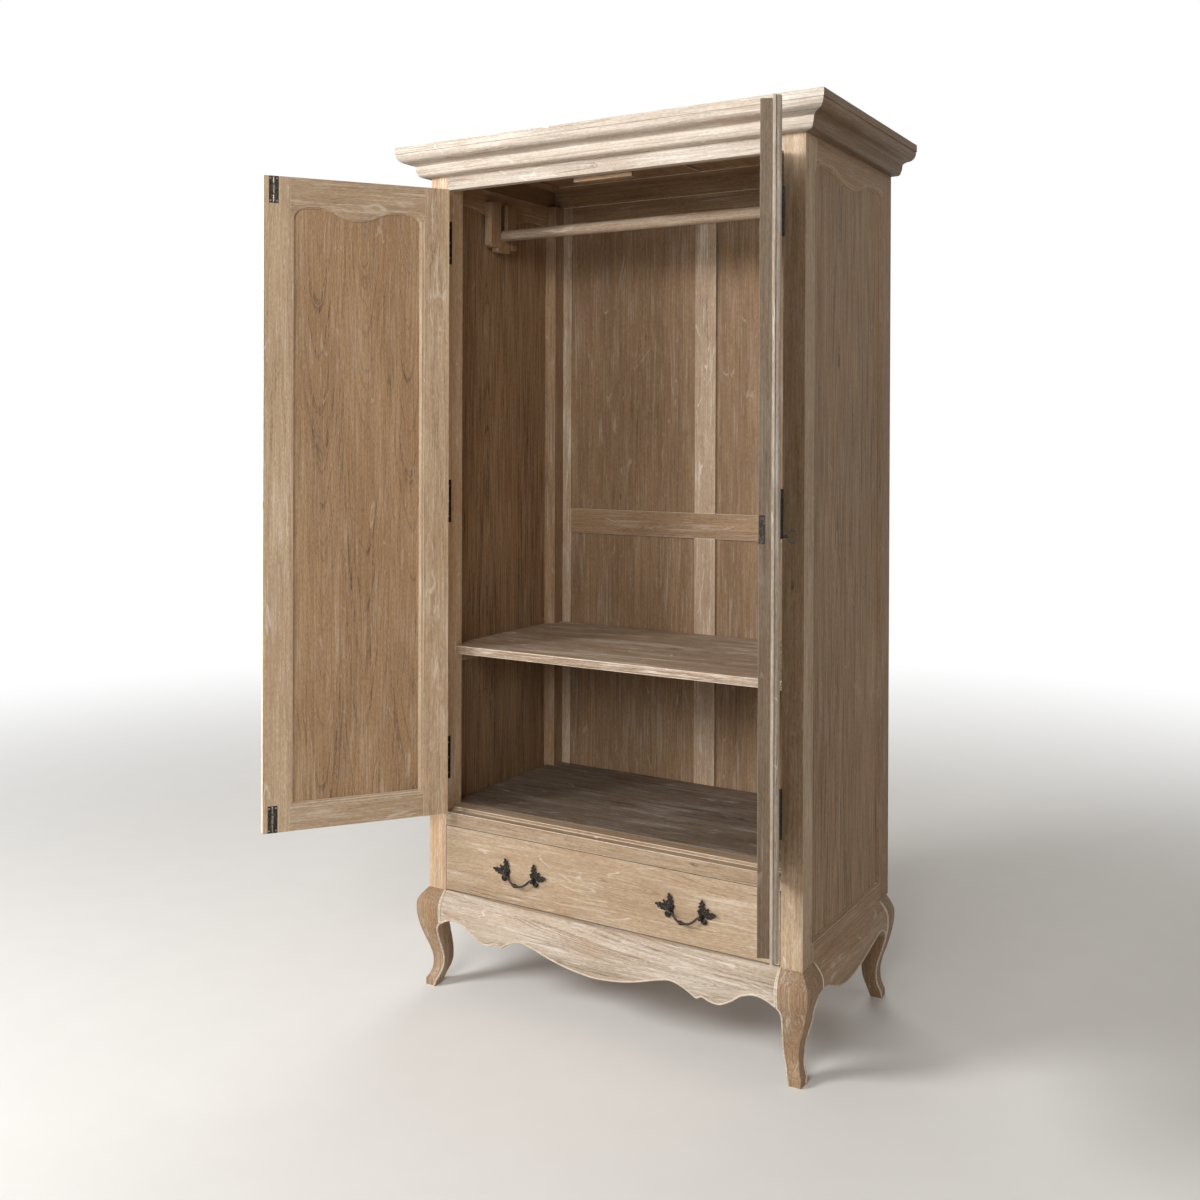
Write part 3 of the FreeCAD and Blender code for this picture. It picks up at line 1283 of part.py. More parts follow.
def drawer_reach():
    """Half the drawer's width, the back of its front board and the back end of its sides."""
    half = HALF_OPENING - DRAWER_SIDE_GAP
    return half, FRONT + DRAWER_FRONT_THICKNESS, DRAWER_END


def drawer_side():
    """Right drawer side, with dovetails at its front end and a groove for the bottom."""
    half, front_back, end = drawer_reach()
    foot, _ = drawer_levels()
    inner = half - DRAWER_SIDE_THICKNESS
    board = block((inner, half), (front_back, end), (foot, foot + DRAWER_SIDE_HEIGHT))
    pitch = DRAWER_SIDE_HEIGHT / DOVETAIL_COUNT
    narrow = pitch * DOVETAIL_WIDTH_SHARE / 2
    wide = narrow + DOVETAIL_FLARE
    for number in range(DOVETAIL_COUNT):
        middle = foot + (number + 1 / 2) * pitch
        tail = Outline(INWARD, UP, (front_back, middle - narrow), ACROSS * inner)
        tip = front_back - DOVETAIL_LENGTH
        tail.line((tip, middle - wide), (tip, middle + wide), (front_back, middle + narrow))
        board = board.fuse(tail.prism(ACROSS * DRAWER_SIDE_THICKNESS))
    return board.removeSplitter().cut(drawer_bottom())


def drawer_bottom():
    """Thin bottom board, let into the front and sides."""
    half, front_back, end = drawer_reach()
    foot = drawer_levels()[0] + DRAWER_BOTTOM_RISE
    reach = half - DRAWER_SIDE_THICKNESS + DRAWER_GROOVE
    return block((-reach, reach), (front_back - DRAWER_GROOVE, end), (foot, foot + DRAWER_BOTTOM_THICKNESS))


def drawer_sides():
    """Both drawer sides."""
    side = drawer_side()
    return gathered((side, mirrored(side)))


def drawer_back():
    """Drawer back, between the sides and over the bottom board."""
    half, _, end = drawer_reach()
    foot = drawer_levels()[0]
    inner = half - DRAWER_SIDE_THICKNESS
    low = foot + DRAWER_BOTTOM_RISE + DRAWER_BOTTOM_THICKNESS
    return block((-inner, inner), (end - DRAWER_SIDE_THICKNESS, end), (low, foot + DRAWER_SIDE_HEIGHT))


def drawer_front():
    """Flush drawer front, with sockets for the dovetails and a groove for the bottom."""
    half, front_back, _ = drawer_reach()
    front = block((-half, half), (FRONT, front_back), drawer_levels())
    return front.cut(drawer_sides()).cut(drawer_bottom())


# Bail handles, drawn round the middle of the drawer and then set to each side
def bail_pivot():
    """The bail's hinge line: half the distance between its bends, and its place."""
    reach = BAIL_SWEEP_RADIUS + BAIL_CORNER_RADIUS
    half = math.sqrt(reach ** 2 - (reach - BAIL_DROP) ** 2)
    return half, Vector(0, FRONT - BAIL_STANDOFF, HANDLE_HEIGHT)


def bar_ring(radius, centre, bend, lean):
    """Corners of the bar's many-sided section at a bend, turned by its lean round the bend's centre."""
    facet = 360 / BAIL_SIDES
    corners = []
    for number in range(BAIL_SIDES):
        corner = FreeCAD.Rotation(ACROSS, facet * (number + 1 / 2)).multVec(INWARD * radius)
        corners.append(centre + FreeCAD.Rotation(INWARD, lean).multVec(corner - UP * bend))
    return corners


def flat_skin(rings):
    """A solid of flat faces that runs through rings of corners, closed at both ends."""
    faces = [Part.Face(Part.makePolygon(ring + ring[:1])) for ring in (rings[0], rings[-1])]
    for near, far in zip(rings, rings[1:]):
        for start, end in zip(range(len(near)), range(1 - len(near), 1)):
            for third, fourth in ((near[end], far[end]), (far[end], far[start])):
                faces.append(Part.Face(Part.makePolygon([near[start], third, fourth, near[start]])))
    shell = Part.makeShell(faces)
    shell.sewShape()
    return Part.makeSolid(shell).removeSplitter()


def bail_stations():
    """Sections of the bail's bar from left to right: centre and radius of the bend, lean and bar radius."""
    half, _ = bail_pivot()
    lean = math.degrees(math.asin(half / (BAIL_SWEEP_RADIUS + BAIL_CORNER_RADIUS)))
    drop = UP * BAIL_CORNER_RADIUS
    middle = UP * (BAIL_SWEEP_RADIUS - BAIL_DROP)
    reach = math.degrees(BAIL_KNOT_LENGTH / 2 / BAIL_SWEEP_RADIUS)
    knot_left, knot_right = BAIL_KNOT_LEAN + reach, BAIL_KNOT_LEAN - reach
    stations = []
    for step in range(BAIL_CORNER_STEPS):
        turned = lean * step / BAIL_CORNER_STEPS
        stations.append((ACROSS * -half - drop, -BAIL_CORNER_RADIUS, turned, BAIL_WIRE))
    for step in range(BAIL_ARM_STEPS + 1):
        turned = lean + (knot_left - lean) * step / BAIL_ARM_STEPS
        stations.append((middle, BAIL_SWEEP_RADIUS, turned, BAIL_WIRE))
    for share in (1 / 2, -1 / 2):
        stations.append((middle, BAIL_SWEEP_RADIUS, BAIL_KNOT_LEAN + share * reach, BAIL_KNOT_RADIUS))
    for step in range(BAIL_ARM_STEPS + 1):
        turned = knot_right - (knot_right + lean) * step / BAIL_ARM_STEPS
        stations.append((middle, BAIL_SWEEP_RADIUS, turned, BAIL_WIRE))
    for step in range(1, BAIL_CORNER_STEPS + 1):
        turned = lean * step / BAIL_CORNER_STEPS - lean
        stations.append((ACROSS * half - drop, -BAIL_CORNER_RADIUS, turned, BAIL_WIRE))
    return stations


def bail_bar():
    """The bent bar with its swollen knot, as one run of sections from pin to pin."""
    return flat_skin([bar_ring(radius, centre, bend, lean) for centre, bend, lean, radius in bail_stations()])


def bail():
    """A hanging bail: round pins and a bent many-sided bar with a knot, tilted off the drawer."""
    half, pivot = bail_pivot()
    shape = bail_bar()
    pin = BAIL_END_PLAY + LEAF_POST_RADIUS * 2
    for side in (-1, 1):
        shape = shape.fuse(rod(BAIL_WIRE, ACROSS * (side * half), ACROSS * (side * (half + pin))))
    shape.rotate(ORIGIN, ACROSS, -BAIL_TILT)
    shape.translate(pivot)
    return shape


def leaflet(root, tip, width):
    """One pointed leaflet between its root and its tip, lying on the drawer front."""
    belly = (
        root[0] + (tip[0] - root[0]) * LEAFLET_BELLY_SHARE,
        root[1] + (tip[1] - root[1]) * LEAFLET_BELLY_SHARE,
    )
    course_x, course_z = heading(root, tip)
    side = (-course_z * width / 2, course_x * width / 2)
    outline = Outline(ACROSS, UP, root, Vector(0, FRONT, HANDLE_HEIGHT))
    outline.line((belly[0] + side[0], belly[1] + side[1]), tip, (belly[0] - side[0], belly[1] - side[1]))
    return outline.prism(INWARD * -LEAF_THICKNESS)


def leaf_mount():
    """Left leaf-shaped mount with its scroll and the post that carries one end of the bail."""
    half, pivot = bail_pivot()
    root = half + BAIL_END_PLAY + LEAF_POST_RADIUS

    def place(share):
        return (share[0] * LEAF_HEIGHT - root, share[1] * LEAF_HEIGHT)

    shapes = [leaflet(place(start), place(tip), width * LEAF_HEIGHT) for start, tip, width in LEAFLET_SHARES]
    scroll_x, scroll_z = place(LEAF_SCROLL_SHARE)
    scroll = Vector(scroll_x, FRONT, HANDLE_HEIGHT + scroll_z)
    shapes.append(faceted_rod(LEAF_SCROLL_RADIUS, scroll, scroll - INWARD * LEAF_THICKNESS))
    foot = Vector(-root, FRONT, pivot.z)
    shapes.append(faceted_rod(LEAF_POST_RADIUS, foot, Vector(-root, pivot.y - LEAF_POST_RADIUS, pivot.z)))
    mount = shapes[0].multiFuse(shapes[1:])
    side = Vector(root + LEAF_POST_RADIUS + OVERRUN, 0, 0)
    bore = rod(BAIL_WIRE + BAIL_PIN_PLAY, pivot - side, pivot)
    return mount.cut(bore).removeSplitter()


def handle_mounts():
    """Four leaf mounts, a mirrored pair for each handle."""
    left = leaf_mount()
    pair = (left, mirrored(left))
    placed = []
    for side in (-1, 1):
        for mount in pair:
            copy = mount.copy()
            copy.translate(ACROSS * (side * HANDLE_OFFSET))
            placed.append(copy)
    return gathered(placed)


def placed_bail(side):
    """The bail of one handle."""
    shape = bail()
    shape.translate(ACROSS * (side * HANDLE_OFFSET))
    return shape


# The doors' woodwork with the seats for their fittings cut in
def right_door():
    """Pieces of the right door, closed."""
    parts = door_parts()
    meeting, _ = door_span()
    pocket = lock_box(0).fuse(key_hole(FRONT - OVERRUN, FRONT + DOOR_THICKNESS - LOCK_DEPTH))
    parts["meeting_stile"] = parts["meeting_stile"].cut(pocket)
    parts["hinge_stile"] = parts["hinge_stile"].cut(hinge_seats(True))
    parts["astragal"] = astragal()
    parts["lock_case"] = lock_case()
    parts["hinge_leaves"] = gathered(hinge_leaf(centre, True) for centre in hinge_centres())
    return parts


def bolt_mortise():
    """Mortise in the left door's meeting edge for the thrown lock bolt."""
    meeting = -door_span()[0]
    near, far = bolt_depth()
    play = LOCK_BOLT_PLAY * 2
    half = LOCK_BOLT_HEIGHT / 2 + play
    return block(
        (meeting - LOCK_THROW, meeting + OVERRUN),
        (near - play, far + play),
        (LOCK_CENTRE - half, LOCK_CENTRE + half),
    )


def left_door():
    """Pieces of the left door, closed."""
    parts = {name: mirrored(shape) for name, shape in door_parts().items()}
    cases = [bolt_case(DOOR_TOP, -1), bolt_case(DOOR_FOOT, 1)]
    stile = parts["meeting_stile"].cut(bolt_mortise())
    for end, inward in ((DOOR_TOP, -1), (DOOR_FOOT, 1)):
        stile = stile.cut(bolt_case_seat(end, inward))
    parts["meeting_stile"] = stile
    parts["hinge_stile"] = parts["hinge_stile"].cut(mirrored(hinge_seats(True)))
    parts["bolt_cases"] = gathered(cases)
    parts["hinge_leaves"] = gathered(mirrored(hinge_leaf(centre, True)) for centre in hinge_centres())
    return parts


def bolt_case_seat(end, inward):
    """The recess that a flush bolt's case is let into."""
    centre = bolt_centre()
    rear = FRONT + DOOR_THICKNESS
    inner_end = end + inward * BOLT_CASE_LENGTH
    half = BOLT_CASE_WIDTH / 2
    return block(
        (centre.x - half, centre.x + half), (rear - BOLT_CASE_DEPTH, rear),
        (min(end, inner_end), max(end, inner_end)),
    )


def swung(shape, side, angle):
    """A closed door's piece, turned about its hinge line: side is -1 for the left door."""
    copy = shape.copy()
    copy.rotate(Vector(side * HINGE_X, HINGE_Y, 0), UP, side * angle)
    return copy


def carcass_nodes():
    """Pieces that stay put."""
    frame = side_frame()
    post = front_post(frame).cut(hinge_seats(False))
    rear = rear_post(frame)
    rails = side_rails(frame)
    panel = side_panel()
    leg = front_leg()
    back_leg = rear_leg()
    apron = side_apron()
    cornice = cornice_return()
    leaves = [hinge_leaf(centre, False) for centre in hinge_centres()]
    return {
        "front_left_leg": mirrored(leg),
        "front_right_leg": leg,
        "rear_left_leg": mirrored(back_leg),
        "rear_right_leg": back_leg,
        "front_apron": front_apron(),
        "left_apron": mirrored(apron),
        "right_apron": apron,
        "back_apron": back_apron(),
        "front_left_post": mirrored(post),
        "front_right_post": post,
        "rear_left_post": mirrored(rear),
        "rear_right_post": rear,
        "left_side_rails": mirrored(rails),
        "right_side_rails": rails,
        "left_side_panel": mirrored(panel),
        "right_side_panel": panel,
        "back_frame": back_frame(),
        "back_panels": back_panels(),
        "frieze_rail": frieze_rail(),
        "drawer_rail": drawer_rail(),
        "cornice_front": cornice_front(),
        "cornice_left": mirrored(cornice),
        "cornice_right": cornice,
        "top_frame": top_frame(),
        "ceiling_panels": ceiling_panels(),
        "deck": deck(),
        "shelf": shelf(),
        "board_battens": board_battens(),
        "hanging_rail": hanging_rail(),
        "rail_brackets": rail_brackets(),
        "door_stop_block": door_stop_block(),
        "drawer_runners": drawer_runners(),
        "post_hinge_leaves": gathered(leaves + [mirrored(leaf) for leaf in leaves]),
    }


def drawer_nodes():
    """Pieces of the drawer and its handles."""
    return {
        "drawer_front": drawer_front(),
        "drawer_sides": drawer_sides(),
        "drawer_back": drawer_back(),
        "drawer_bottom": drawer_bottom(),
        "handle_mounts": handle_mounts(),
        "left_bail": placed_bail(-1),
        "right_bail": placed_bail(1),
    }


def door_nodes():
    """Pieces of both doors, swung to where they stand open."""
    nodes = {}
    left = left_door()
    left["top_bolt"] = flush_bolt(DOOR_TOP, -1)
    left["bottom_bolt"] = flush_bolt(DOOR_FOOT, 1)
    right = right_door()
    right["lock_bolt"] = lock_bolt()
    right["key"] = key()
    for side, angle, prefix, parts in (
        (-1, LEFT_DOOR_ANGLE, "left_door_", left),
        (1, RIGHT_DOOR_ANGLE, "right_door_", right),
    ):
        for name, shape in parts.items():
            nodes[prefix + name] = swung(shape, side, angle)
    return nodes


def all_nodes():
    """Every piece, moved so that the origin is on the floor under the middle of the whole outline."""
    nodes = {**carcass_nodes(), **drawer_nodes(), **door_nodes()}
    box = gathered(nodes.values()).BoundBox
    shift = Vector(-(box.XMin + box.XMax) / 2, -(box.YMin + box.YMax) / 2, 0)
    for shape in nodes.values():
        shape.translate(shift)
    return nodes, shift


def main():
    """Writes each piece to its own file."""
    os.makedirs("parts", exist_ok=True)
    nodes, shift = all_nodes()
    for name, shape in nodes.items():
        shape.exportStep(os.path.join("parts", name + ".step"))
        print(name, "solids", len(shape.Solids), "valid", shape.isValid(), "volume", round(shape.Volume))
    print("nodes", len(nodes), "shift", shift)


if __name__ == "__main__":
    main()
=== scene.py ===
"""Looks of a two-door wardrobe in limed oak, built round its packed construction model.

The frame holds every board and every piece of ironwork in its place, in metres. This script
gives each board its own cut of weathered, limed oak and eases its edges. It adds what is too
fine for the construction model: beads, veined leaves, screws, bolt rods and turned bails.
"""

from __future__ import annotations

import json
import logging
import math
from dataclasses import dataclass, replace
from enum import Enum
from typing import Sequence

import bmesh
import bpy
import numpy as np
from mathutils import Matrix, Vector

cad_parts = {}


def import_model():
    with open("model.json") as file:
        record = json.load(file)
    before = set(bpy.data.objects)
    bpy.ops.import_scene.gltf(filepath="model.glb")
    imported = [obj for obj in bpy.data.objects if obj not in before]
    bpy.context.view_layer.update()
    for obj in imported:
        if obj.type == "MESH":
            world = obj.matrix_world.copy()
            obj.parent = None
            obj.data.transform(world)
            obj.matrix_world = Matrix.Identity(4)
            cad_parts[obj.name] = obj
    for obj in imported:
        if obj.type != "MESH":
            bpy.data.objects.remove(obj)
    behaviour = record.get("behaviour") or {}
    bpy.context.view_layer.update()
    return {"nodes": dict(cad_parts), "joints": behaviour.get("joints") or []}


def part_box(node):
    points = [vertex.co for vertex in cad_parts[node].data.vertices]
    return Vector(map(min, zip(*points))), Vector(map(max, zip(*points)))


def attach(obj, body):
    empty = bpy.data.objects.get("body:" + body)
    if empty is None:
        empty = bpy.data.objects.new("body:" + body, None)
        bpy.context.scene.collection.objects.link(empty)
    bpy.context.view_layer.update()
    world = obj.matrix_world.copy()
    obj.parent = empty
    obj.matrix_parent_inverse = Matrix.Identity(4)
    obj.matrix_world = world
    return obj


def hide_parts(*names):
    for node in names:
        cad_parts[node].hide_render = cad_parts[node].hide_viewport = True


LOG = logging.getLogger("wardrobe")

Colour = tuple[float, float, float]
Triple = tuple[float, float, float]
Socket = bpy.types.NodeSocket

SIDES = ("left", "right")
WHITE: Colour = (1.0, 1.0, 1.0)


class Way(Enum):
    """Direction in which a board's fibres run, in the row frame."""

    ACROSS = (1.0, 0.0, 0.0)
    INWARD = (0.0, 1.0, 0.0)
    UPWARD = (0.0, 0.0, 1.0)


class Facing(Enum):
    """Direction in which a board's broad face looks, in the row frame."""

    FRONT = (0.0, -1.0, 0.0)
    SIDE = (1.0, 0.0, 0.0)
    TOP = (0.0, 0.0, 1.0)


# Building shaders and objects


@dataclass(frozen=True)
class Layer:
    """One layer of noise: its features per metre along and across the fibres, and its octaves.

    Its strength rises from none where the noise is at low to full where it is at high.
    """

    along: float
    across: float
    detail: float = 2.0
    roughness: float = 0.5
    warp: float = 0.0
    low: float = 0.30
    high: float = 0.70


class Graph:
    """A node tree with short methods for the nodes that the finishes use."""

    def __init__(self, tree: bpy.types.NodeTree) -> None:
        """Keep the tree and empty it."""
        self.tree = tree
        tree.nodes.clear()

    def node(self, kind: str, **settings: object) -> bpy.types.Node:
        """Add a node.

        Args:
            kind: Blender's identifier of the node.
            settings: Properties to set on it.

        Returns:
            The new node.
        """
        made = self.tree.nodes.new(kind)
        for name, value in settings.items():
            setattr(made, name, value)
        return made

    def feed(self, socket: Socket, value: object) -> None:
        """Link a socket to another one, or set its default value.

        Args:
            socket: The socket to feed.
            value: A socket, a number, or a vector or colour of three numbers.
        """
        if isinstance(value, bpy.types.NodeSocket):
            self.tree.links.new(value, socket)
        elif isinstance(value, tuple) and len(value) == 3 and len(socket.default_value) == 4:
            socket.default_value = (*value, 1.0)
        else:
            socket.default_value = value

    def fed(self, kind: str, *values: object, **settings: object) -> Socket:
        """Add a node, feed its first inputs in order and return its first output.

        Args:
            kind: Blender's identifier of the node.
            values: What its inputs get.
            settings: Properties to set on it.

        Returns:
            The output.
        """
        made = self.node(kind, **settings)
        for socket, value in zip(made.inputs, values):
            self.feed(socket, value)
        return made.outputs[0]

    def maths(self, operation: str, *values: object, clamp: bool = False) -> Socket:
        """Combine numbers with one of Blender's math operations and return the result."""
        return self.fed("ShaderNodeMath", *values, operation=operation, use_clamp=clamp)

    def scaled(self, vector: object, factors: Triple) -> Socket:
        """Multiply a vector by three factors and return it."""
        return self.fed("ShaderNodeVectorMath", vector, factors, operation="MULTIPLY")

    def noise(self, vector: object, layer: Layer) -> Socket:
        """Sample soft noise.

        Args:
            vector: Where to sample.
            layer: How fine it is along and across, and how rough.

        Returns:
            A number around one half.
        """
        made = self.node("ShaderNodeTexNoise")
        self.feed(made.inputs["Vector"], self.scaled(vector, (layer.along, layer.across, layer.across)))
        made.inputs["Scale"].default_value = 1.0
        made.inputs["Detail"].default_value = layer.detail
        made.inputs["Roughness"].default_value = layer.roughness
        made.inputs["Distortion"].default_value = layer.warp
        return made.outputs["Fac"]

    def spread(
        self, value: object, low: float, high: float, start: float = 0.0, end: float = 1.0
    ) -> Socket:
        """Map low..high smoothly to start..end.

        Args:
            value: The number to map.
            low: Value that gives start.
            high: Value that gives end.
            start: Result at and below low.
            end: Result at and above high.

        Returns:
            The mapped number.
        """
        made = self.node("ShaderNodeMapRange", interpolation_type="SMOOTHSTEP")
        names = ("Value", "From Min", "From Max", "To Min", "To Max")
        for name, given in zip(names, (value, low, high, start, end)):
            self.feed(made.inputs[name], given)
        return made.outputs[0]

    def rise(self, value: object, layer: Layer, start: float = 0.0, end: float = 1.0) -> Socket:
        """Map a layer's noise to start..end between the layer's own low and high."""
        return self.spread(value, layer.low, layer.high, start, end)

    def blend(self, share: object, first: object, second: object, kind: str = "MIX") -> Socket:
        """Mix two colours.

        Args:
            share: How much of the second colour shows.
            first: Colour under.
            second: Colour over.
            kind: Blender's name of the blending.

        Returns:
            The mixed colour.
        """
        made = self.node("ShaderNodeMix", data_type="RGBA", blend_type=kind)
        for number, value in ((0, share), (6, first), (7, second)):
            self.feed(made.inputs[number], value)
        return made.outputs[2]

    def relief(self, height: object, distance: float, strength: object) -> Socket:
        """Raise a surface by a height.

        Args:
            height: How high the surface stands, from 0 to 1.
            distance: Metres that a height of 1 stands for.
            strength: How strongly it shows.

        Returns:
            The normal.
        """
        made = self.node("ShaderNodeBump")
        self.feed(made.inputs["Strength"], strength)
        made.inputs["Distance"].default_value = distance
        self.feed(made.inputs["Height"], height)
        return made.outputs[0]

    def show(self, shader: Socket, kind: str = "ShaderNodeOutputMaterial") -> None:
        """Send a shader to the tree's output node."""
        self.feed(self.node(kind).inputs[0], shader)

    def seen(self) -> Socket:
        """Tell the rays of a camera, a mirror or glass from light.

        Returns:
            1 for those rays, and 0 for light on its way.
        """
        path = self.node("ShaderNodeLightPath").outputs
        seen = self.maths("MAXIMUM", path["Is Camera Ray"], path["Is Glossy Ray"])
        return self.maths("MAXIMUM", seen, path["Is Transmission Ray"])


def new_material(name: str) -> tuple[bpy.types.Material, Graph]:
    """Make a material with an emptied node tree.

    Args:
        name: The material's name.

    Returns:
        The material, and the graph to build it with.
    """
    material = bpy.data.materials.new(name)
    material.use_nodes = True
    return material, Graph(material.node_tree)


def linked(name: str, data: bpy.types.ID) -> bpy.types.Object:
    """Make an object of a mesh, lamp or camera, and put it in the scene.

    Args:
        name: The object's name.
        data: Its mesh, lamp or camera.

    Returns:
        The object.
    """
    made = bpy.data.objects.new(name, data)
    bpy.context.scene.collection.objects.link(made)
    return made


# Wood


@dataclass(frozen=True)
class OakFinish:
    """One shade of weathered oak with lime rubbed into its grain.

    Colours are linear, as the shader reads them. Lengths are in metres.
    """

    name: str
    light: Colour
    middle: Colour
    dark: Colour
    red: Colour
    lime: Colour
    lime_share: float
    ring_width: float = 0.0045
    ring_share: float = 0.30
    figure: float = 0.006
    wander: float = 0.03
    taper: float = 0.010
    pith_depth: float = 0.060
    leaf_width: float = 3.0
    knot_share: float = 0.5
    fibre_share: float = 0.36
    roughness: float = 0.62
    relief: float = 0.35


LIMED = OakFinish(
    "limed oak", light=(0.50, 0.375, 0.25), middle=(0.385, 0.27, 0.168), dark=(0.21, 0.135, 0.08),
    red=(0.36, 0.205, 0.115), lime=(0.66, 0.58, 0.48), lime_share=0.55,
)
PALE = OakFinish(
    "pale oak", light=(0.60, 0.50, 0.40), middle=(0.47, 0.37, 0.275), dark=(0.25, 0.18, 0.125),
    red=(0.45, 0.30, 0.20), lime=(0.80, 0.75, 0.68), lime_share=0.85, ring_share=0.38, pith_depth=0.09,
)
APRON = replace(
    PALE, name="apron oak", lime_share=0.62, wander=0.09, taper=0.060, ring_width=0.0085,
    ring_share=0.55, figure=0.016, fibre_share=0.20,
)
CORNICE = replace(
    PALE, name="cornice oak", light=(0.62, 0.54, 0.46), middle=(0.50, 0.42, 0.34),
    dark=(0.27, 0.20, 0.15),
)
FRONTAL = replace(
    LIMED, name="drawer front oak", taper=0.060, wander=0.12, ring_width=0.0110, ring_share=0.36,
    figure=0.020, fibre_share=0.16, lime_share=0.6,
)
LEG = replace(
    LIMED, name="leg oak", light=(0.49, 0.322, 0.187), middle=(0.37, 0.228, 0.122),
    dark=(0.19, 0.115, 0.062), lime=(0.62, 0.52, 0.41), lime_share=0.7, wander=0.05,
)
PANEL = OakFinish(
    "panel oak", light=(0.41, 0.265, 0.148), middle=(0.300, 0.182, 0.094),
    dark=(0.115, 0.068, 0.037), red=(0.32, 0.175, 0.09), lime=(0.56, 0.46, 0.36), lime_share=0.42,
    ring_width=0.0095, ring_share=0.34, taper=-0.075, pith_depth=0.026, figure=0.014, wander=0.05,
    leaf_width=0.104,
)
SIDE = OakFinish(
    "side panel oak", light=(0.43, 0.280, 0.158), middle=(0.29, 0.176, 0.092),
    dark=(0.10, 0.060, 0.032), red=(0.32, 0.170, 0.08), lime=(0.52, 0.42, 0.31), lime_share=0.5,
    ring_width=0.005, ring_share=0.42, taper=0.02, pith_depth=0.08, fibre_share=0.58,
)
INNER = OakFinish(
    "inner oak", light=(0.35, 0.222, 0.122), middle=(0.240, 0.144, 0.075),
    dark=(0.115, 0.068, 0.036), red=(0.26, 0.15, 0.085), lime=(0.52, 0.45, 0.37), lime_share=0.45,
    relief=0.45, roughness=0.7,
)
FRAMED = OakFinish(
    "inner frame oak", light=(0.50, 0.37, 0.26), middle=(0.37, 0.26, 0.17), dark=(0.18, 0.115, 0.07),
    red=(0.33, 0.19, 0.115), lime=(0.68, 0.61, 0.52), lime_share=0.8, relief=0.45, roughness=0.7,
)
BOARDS = OakFinish(
    "deck and shelf oak", light=(0.38, 0.275, 0.19), middle=(0.25, 0.172, 0.115),
    dark=(0.105, 0.07, 0.045), red=(0.24, 0.155, 0.10), lime=(0.66, 0.59, 0.50), lime_share=1.0,
    ring_share=0.45, relief=0.5, roughness=0.66,
)
# Lighter oak for eased edges, beads and the left door's meeting edge: partly rubbed wear and lime, partly a
# painted highlight on the arrises. On the left door's meeting edge all of it is a painted highlight of
# window light.
EDGE = OakFinish(
    "edge wear and painted highlight", light=(0.72, 0.62, 0.50), middle=(0.60, 0.49, 0.37), dark=(0.38, 0.28, 0.19),
    red=(0.50, 0.35, 0.24), lime=(0.82, 0.76, 0.68), lime_share=0.8,
)


